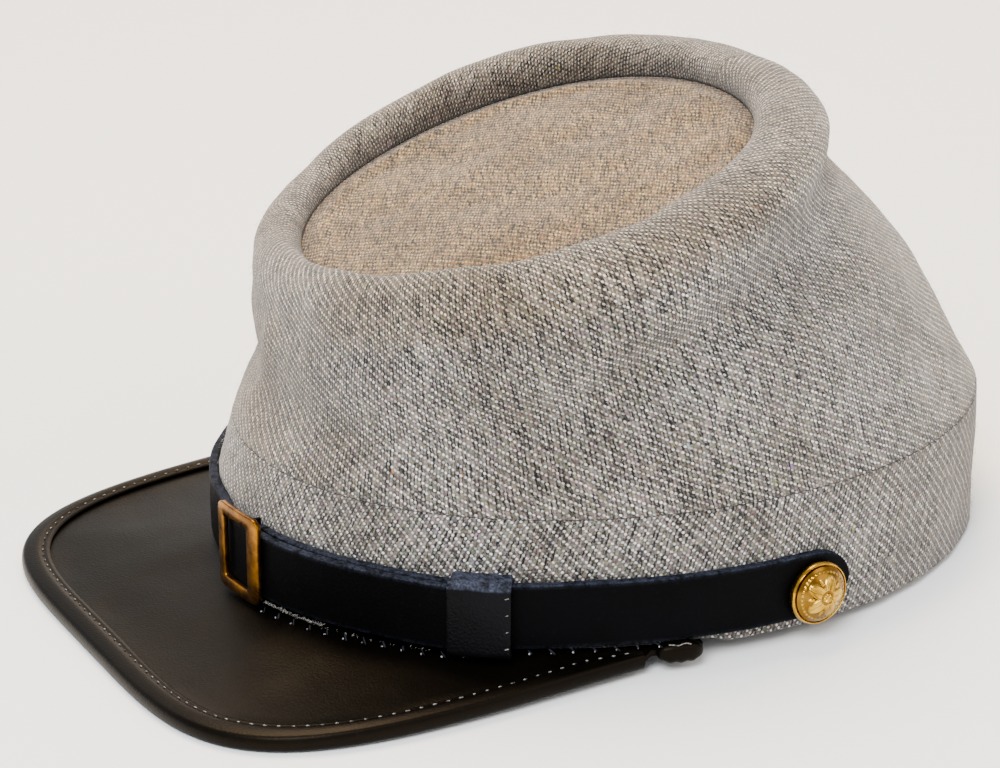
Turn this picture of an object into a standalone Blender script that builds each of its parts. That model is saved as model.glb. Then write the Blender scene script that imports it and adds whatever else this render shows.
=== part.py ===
# Kepi cap: a woollen cloth crown with a sunk top, a cloth band, a stitched leather peak,
# and a leather chin strap with a brass buckle, a keeper and two brass buttons.
# The cap faces -Y and +X is the wearer's left. Lengths are in metres, angles in degrees.
# Each piece is made level, with the band's lower edge at height 0, and then tipped back
# a little, as the cap rests on its band and on the front of its peak.

from bisect import bisect_right
from math import atan2, cos, degrees, exp, pi, radians, sin

import bmesh
import bpy
from mathutils import Matrix, Vector

GAP = 0.0003  # clearance between two pieces that touch

# Head oval, outside of the band at its lower edge
HEAD_LENGTH = 0.2054
HEAD_WIDTH = 0.1746
HEAD_SQUARENESS = 2.05  # 2 would be an ellipse
HEAD_EGG_SHARE = 0.034  # by which the oval widens towards the back
HEAD_BLUNT_SHARE = 0.033  # by which its front half is shorter

# Cloth band
BAND_FRONT_HEIGHT = 0.0325
BAND_BACK_HEIGHT = 0.0360
BAND_WALL = 0.0030
BAND_UPRIGHT = 0.0205  # height up to which the band stands upright
BAND_FRONT_LEAN = 0.0038  # how far the top of the band leans back, at the front
BAND_EDGE = 0.0008  # rounding of the band's edges

# Crown: wall, padded rim and sunk top
CLOTH = 0.0020
CROWN_TUCK = 0.0080  # depth of the seam inside the band
CROWN_OVERHANG = 0.0003
TOP_FORWARD = 0.0165  # centre of the top, in front of the band's centre
TOP_HEIGHT = 0.0890  # shoulder height at the centre of the top
TOP_TILT = 16.7
TOP_LENGTH = 0.1496  # over the shoulder
TOP_WIDTH = 0.1450
DISC_LENGTH = 0.1180  # inside the rim
DISC_WIDTH = 0.1100
DISC_FORWARD = 0.0024
DISC_TUCK = 0.0030
DISC_DOME = 0.0020
DISC_LEVEL = 0.0042  # disc's edge above the shoulder
RIM_RISE = 0.0112  # crest of the rim above the shoulder
RIM_INNER = 0.0042  # crest of the rim to its inner face

# Peak
PEAK_LEATHER = 0.0015
PEAK_PROJECTION = 0.0408  # beyond the band, at the front
PEAK_NARROWING = 0.0020  # how much less its outline reaches sideways than the head oval
PEAK_MIDDLE_FORWARD = 0.0234  # middle of the peak's outline, in front of the band's centre
PEAK_SQUARENESS = 4.4
PEAK_SLOPE = 3.4
PEAK_SEAT = 0.0012  # height of the peak's upper face where it passes under the band
PEAK_END_ANGLE = 66.5  # on the band
PEAK_END_TURN = 82.0  # on the outline
PEAK_SAG = 0.0010
PEAK_FLANGE = 0.0080  # margin sewn up inside the band
TAB_ANGLE = 76.6
TAB_WIDTH = 0.0024
BINDING_LEATHER = 0.0010
BINDING_WIDTH = 0.0074

# Chin strap, keeper and buckle
STRAP_LEATHER = 0.0025
STRAP_WIDTH = 0.0164
STRAP_BOTTOM = 0.0032
STRAP_EDGE = 0.0004
STRAP_POINT = 0.0096  # rounded end beyond the button
STRAP_EASE = 0.0200  # length over which a strap climbs onto what lies under it
KEEPER_LEATHER = 0.0012
KEEPER_WIDTH = 0.0140
KEEPER_ANGLE = 43.4
BUCKLE_WIDTH = 0.0176
BUCKLE_HEIGHT = 0.0226
BUCKLE_RAISE = 0.0011  # above the middle of the strap
BUCKLE_BAR = 0.0036
BUCKLE_METAL = 0.0014
BUCKLE_CORNER = 0.0022
BUCKLE_ANGLE = 4.6

# Buttons
BUTTON_ANGLE = 95.9
BUTTON_DROP = 0.0016  # below the middle of the strap
BUTTON_DIAMETER = 0.0160
BUTTON_DOME = 0.0042
BUTTON_RIM = 0.0009
BUTTON_RELIEF = 0.0003
BUTTON_PETALS = 5
PETAL_SIDES = 6
SHANK_DIAMETER = 0.0024

# Facets
AROUND = 64
PEAK_COLUMNS = 34
STRAP_STEP = 0.0060
ROUND_END_STEPS = 5

# Sections of the crown by angle round the cap, negative on the wearer's right. The crease runs
# from low in front to high behind. Its height and spread are shares of the wall from band to
# shoulder. Its depth and the wall's fullness are shares of CREASE_DEPTH, and the rim's height
# is a share of RIM_RISE.
CREASE_DEPTH = 0.0070
SECTIONS = (
    # angle, height, depth, spread, fullness, rim
    (-180, 0.84, 1.00, 0.18, 0.10, 1.00),
    (-150, 0.84, 0.90, 0.16, 0.10, 1.15),
    (-120, 0.78, 0.70, 0.16, 0.15, 1.35),
    (-90, 0.62, 0.60, 0.18, 0.15, 1.25),
    (-60, 0.50, 0.60, 0.22, 0.10, 0.90),
    (-30, 0.46, 0.62, 0.24, 0.00, 0.90),
    (0, 0.46, 0.45, 0.24, 0.00, 1.06),
    (30, 0.40, 0.30, 0.20, 0.05, 1.32),
    (50, 0.39, 0.60, 0.18, 0.10, 1.32),
    (70, 0.55, 0.90, 0.18, 0.15, 1.08),
    (90, 0.70, 0.95, 0.17, 0.15, 1.00),
    (110, 0.80, 1.00, 0.16, 0.10, 1.00),
    (130, 0.84, 1.10, 0.18, 0.05, 1.00),
    (150, 0.84, 1.10, 0.20, 0.05, 1.00),
    (180, 0.84, 1.00, 0.18, 0.10, 1.00),
)
WALL_SHARES = (0.0, 0.06, 0.13, 0.20, 0.27, 0.34, 0.41, 0.48, 0.55, 0.62, 0.69, 0.76, 0.83, 0.90)
ROLL_TURNS = (0, 22, 45, 68, 90)
INNER_TURNS = (30, 60, 90)

COLOURS = {
    "cloth": ((0.30, 0.27, 0.23), 0.95, 0.0),
    "leather": ((0.015, 0.014, 0.014), 0.38, 0.0),
    "brass": ((0.72, 0.46, 0.12), 0.28, 1.0),
}


def clear_scene():
    for thing in list(bpy.data.objects):
        bpy.data.objects.remove(thing)


def material(kind):
    """A Principled material in one of the cap's colours."""
    found = bpy.data.materials.get(kind)
    if found:
        return found
    colour, roughness, metallic = COLOURS[kind]
    made = bpy.data.materials.new(kind)
    made.use_nodes = True
    shader = made.node_tree.nodes["Principled BSDF"]
    shader.inputs["Base Color"].default_value = (*colour, 1)
    shader.inputs["Roughness"].default_value = roughness
    shader.inputs["Metallic"].default_value = metallic
    made.diffuse_color = (*colour, 1)
    return made


def smooth_step(value):
    value = max(0.0, min(1.0, value))
    return value * value * (3 - 2 * value)


def section(angle):
    """The crown's section at an angle, smoothly between the rows of the table."""
    angle = (degrees(angle) + 180) % 360 - 180
    for low, high in zip(SECTIONS, SECTIONS[1:]):
        if angle <= high[0]:
            part = smooth_step((angle - low[0]) / (high[0] - low[0]))
            return [a + (b - a) * part for a, b in zip(low[1:], high[1:])]
    return list(SECTIONS[-1][1:])


def superellipse(angle, half_length, half_width, squareness):
    """Point on a superellipse: angle 0 is the front, and a quarter turn is the wearer's left."""
    front = abs(cos(angle) / half_length) ** squareness
    side = abs(sin(angle) / half_width) ** squareness
    radius = (front + side) ** (-1 / squareness)
    return Vector((radius * sin(angle), -radius * cos(angle)))


def head_oval(angle):
    point = superellipse(angle, HEAD_LENGTH / 2, HEAD_WIDTH / 2, HEAD_SQUARENESS)
    point.x *= 1 + HEAD_EGG_SHARE * point.y / (HEAD_LENGTH / 2)
    if point.y < 0:
        point.y *= 1 - HEAD_BLUNT_SHARE
    return point


def outward(curve, angle):
    """Outward direction, square to a plan curve."""
    nudge = radians(0.05)
    along = curve(angle + nudge) - curve(angle - nudge)
    return Vector((along.y, -along.x)).normalized()


def arc_table():
    """Distance along the head oval from the front, degree by degree."""
    lengths = [0.0]
    for degree in range(180):
        step = head_oval(radians(degree + 1)) - head_oval(radians(degree))
        lengths.append(lengths[-1] + step.length)
    return lengths


ARC = arc_table()


def arc_at(angle):
    """Distance along the head oval to an angle in degrees."""
    whole = min(int(abs(angle)), 179)
    length = ARC[whole] + (ARC[whole + 1] - ARC[whole]) * (abs(angle) - whole)
    return length if angle >= 0 else -length


def angle_at(arc):
    """Angle, in radians, of a distance along the head oval."""
    whole = min(bisect_right(ARC, abs(arc)) - 1, 179)
    degree = whole + (abs(arc) - ARC[whole]) / (ARC[whole + 1] - ARC[whole])
    return radians(degree if arc >= 0 else -degree)


def band_top(angle):
    middle = (BAND_FRONT_HEIGHT + BAND_BACK_HEIGHT) / 2
    return middle - (BAND_BACK_HEIGHT - BAND_FRONT_HEIGHT) / 2 * cos(angle)


def band_bottom(angle):
    """The band is cut short where the peak passes under it."""
    past_tab = (abs((degrees(angle) + 180) % 360 - 180) - TAB_ANGLE - 360 / AROUND) / 4
    return (PEAK_SEAT + GAP) * (1 - smooth_step(past_tab))


def band_face(angle, height, out=0.0):
    """Point at a height on the band's outer face, moved outwards by out."""
    plan = head_oval(angle)
    front = ((1 + cos(angle)) / 2) ** 2
    share = max(0.0, (height - BAND_UPRIGHT) / (band_top(angle) - BAND_UPRIGHT))
    plan += outward(head_oval, angle) * (out - BAND_FRONT_LEAN * front * share)
    return Vector((plan.x, plan.y, height))


def on_band(arc, height, out):
    """Point in front of the band at a distance along it. Strap and metal stand upright."""
    angle = angle_at(arc)
    plan = head_oval(angle) + outward(head_oval, angle) * out
    return Vector((plan.x, plan.y, height))


def finish_mesh(name, mesh, kind, sharp=35):
    bm = bmesh.new()
    bm.from_mesh(mesh)
    bmesh.ops.recalc_face_normals(bm, faces=bm.faces)
    bm.to_mesh(mesh)
    bm.free()
    mesh.shade_smooth()
    mesh.set_sharp_from_angle(angle=radians(sharp))
    mesh.materials.append(material(kind))
    made = bpy.data.objects.new(name, mesh)
    bpy.context.scene.collection.objects.link(made)
    return made


def loft(name, rings, kind, closed=True, sharp=35):
    """One solid through closed sections. Unless it closes on itself, its two ends are capped."""
    count = len(rings[0])
    points = [point for ring in rings for point in ring]
    faces = []
    last = len(rings) if closed else len(rings) - 1
    for r in range(last):
        here, there = r * count, (r + 1) % len(rings) * count
        for p in range(count):
            q = (p + 1) % count
            faces.append((here + p, here + q, there + q, there + p))
    if not closed:
        faces.append(tuple(range(count)))
        faces.append(tuple(range(len(points) - count, len(points))))
    mesh = bpy.data.meshes.new(name)
    mesh.from_pydata(points, [], faces)
    return finish_mesh(name, mesh, kind, sharp)


def around_angles():
    return [2 * pi * step / AROUND for step in range(AROUND)]


def make_band():
    """A closed wall of cloth round the head, with rounded edges."""
    rings = []
    for angle in around_angles():
        low, high = band_bottom(angle), band_top(angle)
        profile = (
            (low, -BAND_EDGE),
            (low + BAND_EDGE, 0),
            (BAND_UPRIGHT, 0),
            (high - BAND_EDGE, 0),
            (high, -BAND_EDGE),
            (high, BAND_EDGE - BAND_WALL),
            (high - BAND_EDGE, -BAND_WALL),
            (BAND_UPRIGHT, -BAND_WALL),
            (low + BAND_EDGE, -BAND_WALL),
            (low, BAND_EDGE - BAND_WALL),
        )
        rings.append([band_face(angle, height, out) for height, out in profile])
    return loft("band", rings, "cloth")


def top_frame():
    """The tilted frame of the top: its Y runs from front to back, and its Z stands on the disc."""
    centre = Vector((0, -TOP_FORWARD, TOP_HEIGHT))
    return Matrix.Translation(centre) @ Matrix.Rotation(radians(TOP_TILT), 4, "X")


TOP_FRAME = top_frame()


def shoulder(angle):
    return superellipse(angle, TOP_LENGTH / 2, TOP_WIDTH / 2, 2.1)


def disc_edge(angle, grow=0.0):
    edge = superellipse(angle, DISC_LENGTH / 2 + grow, DISC_WIDTH / 2 + grow, 2.1)
    return edge - Vector((0, DISC_FORWARD))


def on_top(plan, height):
    return TOP_FRAME @ Vector((plan.x, plan.y, height))


def wall_point(angle, share):
    """Point on the crown's outer face between band and shoulder, with its crease and fullness."""
    start = band_face(angle, band_top(angle) + CLOTH * 0.8, CROWN_OVERHANG)
    point = start.lerp(on_top(shoulder(angle), 0), share)
    height, depth, spread, fullness, _ = section(angle)
    crease = exp(-(((share - height) / spread) ** 2))
    fade = smooth_step(share / 0.12) * smooth_step((1 - share) / 0.07)
    swell = fullness * sin(pi * share) - depth * crease
    point += outward(head_oval, angle).to_3d() * (CREASE_DEPTH * swell * fade)
    return point


def crown_outer(angle):
    """The crown's outer face at one angle, from the seam inside the band over the rim to the disc."""
    top = band_top(angle)
    inside = -BAND_WALL - GAP
    points = [
        band_face(angle, top - CROWN_TUCK, inside),
        band_face(angle, top, inside),
        band_face(angle, top + CLOTH * 0.45, inside + BAND_WALL * 0.45),
    ]
    points += [wall_point(angle, share) for share in WALL_SHARES]
    rise = RIM_RISE * section(angle)[-1]
    crest = disc_edge(angle, RIM_INNER)
    across = shoulder(angle) - crest
    for turn in ROLL_TURNS:
        points.append(on_top(crest + across * cos(radians(turn)), rise * sin(radians(turn))))
    inward = disc_edge(angle) - crest
    for turn in INNER_TURNS:
        height = DISC_LEVEL + (rise - DISC_LEVEL) * cos(radians(turn))
        points.append(on_top(crest + inward * sin(radians(turn)), height))
    return points


def thickened(rows, wall):
    """Inner points of a sheet given as a closed grid of rows, one wall further in."""
    inner = []
    count = len(rows)
    for r, row in enumerate(rows):
        before, after = rows[r - 1], rows[(r + 1) % count]
        points = []
        for p, point in enumerate(row):
            up = row[min(p + 1, len(row) - 1)] - row[max(p - 1, 0)]
            normal = (after[p] - before[p]).cross(up).normalized()
            points.append(point - normal * wall)
        inner.append(points)
    return inner


def make_crown_side():
    rows = [crown_outer(angle) for angle in around_angles()]
    inner = thickened(rows, CLOTH)
    rings = []
    for angle, outside, inside in zip(around_angles(), rows, inner):
        hem = on_top(disc_edge(angle, CLOTH), DISC_LEVEL)
        kept = inside[:3] + inside[4:-1:2] + [hem]
        rings.append(outside + kept[::-1])
    return loft("crown_side", rings, "cloth", sharp=60)


def make_crown_top():
    """The sunk disc: its margin is tucked under the rim."""
    level = DISC_LEVEL - GAP
    upper = (0.25, 0.55, 0.8)
    points = [on_top(Vector((0, -DISC_FORWARD)), level + DISC_DOME)]
    rings = []
    for share in upper:
        rings.append([(share, 0.0, level + DISC_DOME * (1 - share * share))] * AROUND)
    rings.append([(1.0, 0.0, level)] * AROUND)
    rings.append([(1.0, DISC_TUCK, level)] * AROUND)
    rings.append([(1.0, DISC_TUCK, level - CLOTH)] * AROUND)
    rings.append([(0.8, 0.0, level - CLOTH + DISC_DOME * (1 - 0.64))] * AROUND)
    rings.append([(0.4, 0.0, level - CLOTH + DISC_DOME * (1 - 0.16))] * AROUND)
    centre = Vector((0, -DISC_FORWARD))
    for ring in rings:
        for angle, (share, grow, height) in zip(around_angles(), ring):
            points.append(on_top(centre.lerp(disc_edge(angle, grow), share), height))
    points.append(on_top(centre, level - CLOTH + DISC_DOME))
    faces = []
    for step in range(AROUND):
        after = (step + 1) % AROUND
        faces.append((0, 1 + step, 1 + after))
        for ring in range(len(rings) - 1):
            here, there = 1 + ring * AROUND, 1 + (ring + 1) * AROUND
            faces.append((here + step, there + step, there + after, here + after))
        last = 1 + (len(rings) - 1) * AROUND
        faces.append((len(points) - 1, last + after, last + step))
    mesh = bpy.data.meshes.new("crown_top")
    mesh.from_pydata(points, [], faces)
    return finish_mesh("crown_top", mesh, "cloth")


def peak_outline(turn):
    """Plan point of the peak's edge. Turn runs from -90 to 90 degrees, right side to left side."""
    reach = HEAD_LENGTH / 2 + PEAK_PROJECTION - PEAK_MIDDLE_FORWARD
    edge = superellipse(turn, reach, HEAD_WIDTH / 2 - PEAK_NARROWING, PEAK_SQUARENESS)
    return edge - Vector((0, PEAK_MIDDLE_FORWARD))


def peak_plane(plan):
    """Height of the peak's upper face at its edge, whose middle lies in one sloping plane."""
    return (plan.y + PEAK_MIDDLE_FORWARD) * sin(radians(PEAK_SLOPE)) + PEAK_LEATHER / 2


def peak_column(share):
    """One column of the peak, from the band out to the edge. Share runs from -1, right, to 1, left."""
    inner = band_face(radians(PEAK_END_ANGLE * share), PEAK_SEAT)
    plan = peak_outline(radians(PEAK_END_TURN * share))
    outer = Vector((plan.x, plan.y, peak_plane(plan)))
    return inner, outer, (outer - inner).to_2d().length


def on_peak(share, inset, rise=0.0):
    """Point above the peak's upper face, given by its distance in from the peak's edge."""
    inner, outer, length = peak_column(share)
    along = 1 - inset / length
    point = inner.lerp(outer, along)
    point.z += rise - PEAK_SAG * sin(pi * max(0.0, along))
    return point


def binding_reach(share):
    """Width of the binding along a column: it narrows where the peak runs out beside the band."""
    return min(BINDING_WIDTH, 0.7 * peak_column(share)[2])


def peak_shares():
    return [2 * step / PEAK_COLUMNS - 1 for step in range(PEAK_COLUMNS + 1)]


def peak_flange(angle, level, height):
    """The part of the peak that passes under the band and turns up inside it."""
    inside = -BAND_WALL - GAP
    back = inside if level == PEAK_SEAT else inside - PEAK_LEATHER
    return [band_face(angle, height, back), band_face(angle, level, back), band_face(angle, level)]


def tab_section(angle, width):
    """The peak's end, which shows as a narrow tab beside the band."""
    upper = peak_flange(angle, PEAK_SEAT, PEAK_FLANGE)
    lower = peak_flange(angle, PEAK_SEAT - PEAK_LEATHER, PEAK_FLANGE)
    for share in (0.2, 0.4, 0.6, 0.8, 1.0):
        upper.append(band_face(angle, PEAK_SEAT, width * share))
        lower.append(band_face(angle, PEAK_SEAT - PEAK_LEATHER, width * share))
    return upper + lower[::-1]


def peak_section(share):
    angle = radians(PEAK_END_ANGLE * share)
    upper = peak_flange(angle, PEAK_SEAT, PEAK_FLANGE)
    lower = peak_flange(angle, PEAK_SEAT - PEAK_LEATHER, PEAK_FLANGE)
    length = peak_column(share)[2]
    free = length - binding_reach(share)
    insets = [length - free * part for part in (0.25, 0.5, 0.75, 1.0)] + [BINDING_LEATHER + GAP]
    for inset in insets:
        upper.append(on_peak(share, inset))
        lower.append(on_peak(share, inset, -PEAK_LEATHER))
    return upper + lower[::-1]


def make_peak():
    """Leather plate that passes under the band and turns up inside it, with a tab at each end."""
    ends = ((TAB_ANGLE, 0.5), (TAB_ANGLE - 1, 1.0), (PEAK_END_ANGLE + 1.5, 1.0))
    right = [tab_section(-radians(angle), TAB_WIDTH * part) for angle, part in ends]
    left = [tab_section(radians(angle), TAB_WIDTH * part) for angle, part in reversed(ends)]
    rings = right + [peak_section(share) for share in peak_shares()] + left
    return loft("peak", rings, "leather", closed=False)


def make_peak_binding():
    """Leather strip folded round the edge of the peak."""
    wall = BINDING_LEATHER
    top, bottom = GAP, -PEAK_LEATHER - GAP
    rings = []
    for share in peak_shares():
        reach = binding_reach(share)
        profile = (
            # inset from the peak's edge, rise above its upper face
            (reach, top),
            (reach, top + wall * 0.6),
            (reach - wall, top + wall),
            (wall, top + wall),
            (wall * 0.25, top - wall * 0.3),
            (0.0, (top + bottom) / 2),
            (wall * 0.25, bottom + wall * 0.3),
            (wall, bottom - wall),
            (reach - wall, bottom - wall),
            (reach, bottom - wall * 0.6),
            (reach, bottom),
            (wall, bottom),
            (wall, top),
        )
        rings.append([on_peak(share, inset, rise) for inset, rise in profile])
    return loft("peak_binding", rings, "leather", closed=False)


KEEPER_ARC = arc_at(KEEPER_ANGLE)
BUTTON_ARC = arc_at(BUTTON_ANGLE)
BUCKLE_ARC = arc_at(BUCKLE_ANGLE)
STRAP_MIDDLE = STRAP_BOTTOM + STRAP_WIDTH / 2


def short_standoff(arc):
    """The short strap lies on the band, and is lifted by the keeper's inner side."""
    past = (abs(arc - KEEPER_ARC) - KEEPER_WIDTH / 2) / STRAP_EASE
    return GAP + (KEEPER_LEATHER + GAP) * (1 - smooth_step(past))


def long_standoff(arc):
    """The long strap lies on the band, and past the buckle's bar it lies on the short strap."""
    on_short = short_standoff(arc) + STRAP_LEATHER + GAP
    climb = smooth_step((arc - BUCKLE_ARC + BUCKLE_BAR / 2 + STRAP_EASE) / STRAP_EASE)
    return GAP + (on_short - GAP) * climb


def strap(name, button_arc, end_arc, standoff):
    """A leather strap along the band, round at its button and cut square at its other end."""
    way = 1 if button_arc > end_arc else -1
    radius = STRAP_WIDTH / 2
    stations = []
    for step in range(ROUND_END_STEPS):
        turn = radians(12 + 78 * step / (ROUND_END_STEPS - 1))
        stations.append((button_arc + way * STRAP_POINT * cos(turn), radius * sin(turn)))
    length = abs(button_arc - end_arc)
    count = max(2, round(length / STRAP_STEP))
    for step in range(1, count + 1):
        stations.append((button_arc - way * length * step / count, radius))
    rings = []
    for arc, half in stations:
        low, high = STRAP_MIDDLE - half, STRAP_MIDDLE + half
        inner = standoff(arc)
        outer = inner + STRAP_LEATHER
        edge = min(STRAP_EDGE, half / 2)
        profile = (
            (low, inner),
            (high, inner),
            (high, outer - edge),
            (high - edge, outer),
            (low + edge, outer),
            (low, outer - edge),
        )
        rings.append([on_band(arc, height, out) for height, out in profile])
    return loft(name, rings, "leather", closed=False)


def make_keeper():
    """A closed leather loop round both straps."""
    lap = long_standoff(KEEPER_ARC) + STRAP_LEATHER + GAP
    low, high = STRAP_BOTTOM - GAP, STRAP_BOTTOM + STRAP_WIDTH + GAP
    wall = KEEPER_LEATHER
    corner = wall * 0.5
    # Each station is a point of the loop's inner face and the same point of its outer face.
    stations = (
        ((low, GAP + wall), (low - wall, GAP + corner)),
        ((low + wall, GAP + wall), (low, GAP)),
        ((high - wall, GAP + wall), (high, GAP)),
        ((high, GAP + wall), (high + wall, GAP + corner)),
        ((high, lap), (high + wall, lap + corner)),
        ((high - wall, lap), (high, lap + wall)),
        ((low + wall, lap), (low, lap + wall)),
        ((low, lap), (low - wall, lap + corner)),
    )
    arcs = [KEEPER_ARC + KEEPER_WIDTH * share for share in (-0.5, 0.0, 0.5)]
    rings = []
    for inner, outer in stations:
        ring = [on_band(arc, *inner) for arc in arcs]
        ring += [on_band(arc, *outer) for arc in reversed(arcs)]
        rings.append(ring)
    return loft("strap_keeper", rings, "leather")


def rounded_rectangle(half_width, half_height, radius, per_corner=4):
    """Corner arcs of a rectangle, as offsets along and across the strap."""
    points = []
    for corner in range(4):
        middle_x = (half_width - radius) * (1 if corner in (0, 3) else -1)
        middle_y = (half_height - radius) * (1 if corner in (0, 1) else -1)
        for step in range(per_corner):
            turn = radians(90 * corner + 90 * step / (per_corner - 1))
            points.append((middle_x + radius * cos(turn), middle_y + radius * sin(turn)))
    return points


def add_boolean(made, other, operation):
    modifier = made.modifiers.new(operation.title(), "BOOLEAN")
    modifier.operation = operation
    modifier.object = other


def make_buckle():
    """A curved brass frame in front of the long strap, held by a plain bar behind it."""
    front = long_standoff(BUCKLE_ARC + BUCKLE_WIDTH / 2) + STRAP_LEATHER + GAP
    window_radius = BUCKLE_CORNER * 0.4
    outer = rounded_rectangle(BUCKLE_WIDTH / 2, BUCKLE_HEIGHT / 2, BUCKLE_CORNER)
    inner = rounded_rectangle(
        BUCKLE_WIDTH / 2 - BUCKLE_BAR, BUCKLE_HEIGHT / 2 - BUCKLE_BAR, window_radius
    )
    edge = BUCKLE_METAL * 0.25
    middle = STRAP_MIDDLE + BUCKLE_RAISE
    rings = []
    for (x_out, y_out), (x_in, y_in) in zip(outer, inner):
        x_face, y_face = x_out * (1 - edge / BUCKLE_WIDTH * 2), y_out * (1 - edge / BUCKLE_HEIGHT * 2)
        profile = (
            (x_out, y_out, front),
            (x_out, y_out, front + BUCKLE_METAL - edge),
            (x_face, y_face, front + BUCKLE_METAL),
            (x_in, y_in, front + BUCKLE_METAL),
            (x_in, y_in, front),
        )
        rings.append([on_band(BUCKLE_ARC + x, middle + y, out) for x, y, out in profile])
    frame = loft("buckle", rings, "brass")
    half = BUCKLE_BAR / 2
    arcs = [BUCKLE_ARC - half, BUCKLE_ARC, BUCKLE_ARC + half]
    reach = BUCKLE_HEIGHT / 2 - BUCKLE_METAL * 0.4
    low, high = middle - reach, middle + reach
    strap_low, strap_high = STRAP_BOTTOM - GAP, STRAP_BOTTOM + STRAP_WIDTH + GAP
    bite = front + BUCKLE_METAL / 2
    rings = []
    for arc in arcs:
        profile = (
            (low, GAP),
            (high, GAP),
            (high, bite),
            (strap_high, bite),
            (strap_high, GAP + BUCKLE_METAL),
            (strap_low, GAP + BUCKLE_METAL),
            (strap_low, bite),
            (low, bite),
        )
        rings.append([on_band(arc, height, out) for height, out in profile])
    bar = loft("buckle_bar", rings, "brass", closed=False)
    bar.hide_render = True
    bar.display_type = "WIRE"
    add_boolean(frame, bar, "UNION")
    return frame


def button_profile():
    """Radius and height of the button's dome, from its middle to its rim."""
    radius = BUTTON_DIAMETER / 2
    rows = [(radius * share, BUTTON_RIM + BUTTON_DOME * (1 - share * share) ** 0.8)
            for share in (0.14, 0.30, 0.46, 0.62, 0.78)]
    rows += [(radius * 0.88, BUTTON_RIM * 1.5), (radius * 0.95, BUTTON_RIM * 1.8)]
    rows += [(radius, BUTTON_RIM), (radius * 0.97, 0.0), (SHANK_DIAMETER / 2, 0.0)]
    return rows


def make_button(name, way, standoff):
    """A domed brass button with a raised rosette, and a shank through strap and band."""
    arc = way * BUTTON_ARC
    angle = angle_at(arc)
    seat = standoff(arc) + STRAP_LEATHER + GAP
    direction = outward(head_oval, angle)
    place = on_band(arc, STRAP_MIDDLE - BUTTON_DROP, seat)
    across = Vector((-direction.y, direction.x, 0))
    upright = Vector((0, 0, 1))
    facing = direction.to_3d()
    sides = PETAL_SIDES * BUTTON_PETALS
    shank = -(seat + BAND_WALL)
    rows = button_profile() + [(SHANK_DIAMETER / 2, shank)]
    top = BUTTON_RIM + BUTTON_DOME
    points = [place + facing * top]
    for row, (radius, height) in enumerate(rows):
        for side in range(sides):
            turn = 2 * pi * side / sides
            raised = BUTTON_RELIEF * cos(BUTTON_PETALS * turn) if 0 < row < 4 else 0.0
            flat = across * cos(turn) + upright * sin(turn)
            points.append(place + flat * radius + facing * (height + raised))
    faces = [(0, 1 + side, 1 + (side + 1) % sides) for side in range(sides)]
    for row in range(len(rows) - 1):
        here, there = 1 + row * sides, 1 + (row + 1) * sides
        for side in range(sides):
            after = (side + 1) % sides
            faces.append((here + side, there + side, there + after, here + after))
    last = 1 + (len(rows) - 1) * sides
    faces.append(tuple(last + side for side in range(sides)))
    mesh = bpy.data.meshes.new(name)
    mesh.from_pydata(points, [], faces)
    made = finish_mesh(name, mesh, "brass", sharp=50)
    return made, place, facing, shank


def make_shank_hole(name, place, facing, depth):
    """Cutter for the hole that the shank passes through."""
    bm = bmesh.new()
    radius = SHANK_DIAMETER / 2 + GAP
    bmesh.ops.create_cone(
        bm, cap_ends=True, segments=12, radius1=radius, radius2=radius, depth=-4 * depth
    )
    mesh = bpy.data.meshes.new(name)
    bm.to_mesh(mesh)
    bm.free()
    cutter = bpy.data.objects.new(name, mesh)
    cutter.matrix_world = Matrix.Translation(place) @ facing.to_track_quat("Z", "Y").to_matrix().to_4x4()
    cutter.hide_render = True
    cutter.display_type = "WIRE"
    bpy.context.scene.collection.objects.link(cutter)
    return cutter


def rest_turn(points):
    """Turn about X, and the lift, that set the cap down on the lowest point before and behind."""
    turn = 0.0
    for _ in range(6):
        spin = Matrix.Rotation(turn, 3, "X")
        turned = [spin @ point for point in points]
        front = min((p for p in turned if p.y < 0), key=lambda p: p.z)
        back = min((p for p in turned if p.y > 0), key=lambda p: p.z)
        turn += atan2(front.z - back.z, back.y - front.y)
    spin = Matrix.Rotation(turn, 3, "X")
    turned = [spin @ point for point in points]
    return turn, -min(p.z for p in turned), -(min(p.y for p in turned) + max(p.y for p in turned)) / 2


def main():
    clear_scene()
    band = make_band()
    parts = [band, make_crown_side(), make_crown_top(), make_peak(), make_peak_binding()]
    short_end = BUCKLE_ARC + BUCKLE_BAR / 2 + 2 * GAP
    long_end = KEEPER_ARC + KEEPER_WIDTH / 2 - 3 * GAP
    left = strap("chin_strap_left", BUTTON_ARC, short_end, short_standoff)
    right = strap("chin_strap_right", -BUTTON_ARC, long_end, long_standoff)
    parts += [left, right, make_keeper(), make_buckle()]
    helpers = [bpy.data.objects["buckle_bar"]]
    sides = (("left", 1, left, short_standoff), ("right", -1, right, long_standoff))
    for side, way, leather, standoff in sides:
        button, place, facing, shank = make_button(f"button_{side}", way, standoff)
        hole = make_shank_hole(f"shank_hole_{side}", place, facing, shank)
        add_boolean(leather, hole, "DIFFERENCE")
        add_boolean(band, hole, "DIFFERENCE")
        parts.append(button)
        helpers.append(hole)
    turn, lift, shift = rest_turn([v.co for part in parts for v in part.data.vertices])
    cap = bpy.data.objects.new("cap", None)
    cap.rotation_euler.x = turn
    cap.location = (0, shift, lift)
    bpy.context.scene.collection.objects.link(cap)
    for thing in parts + helpers:
        thing.parent = cap


main()
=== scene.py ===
# Kepi cap: grey tweed crown and band, black leather peak and chin strap, brass buckle and buttons.
# The cap faces -Y, and +X is the wearer's left. Lengths are in metres unless a name says Mm.

import math

import bmesh
import bpy
import numpy as np
from mathutils import Matrix, Vector, noise


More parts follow.
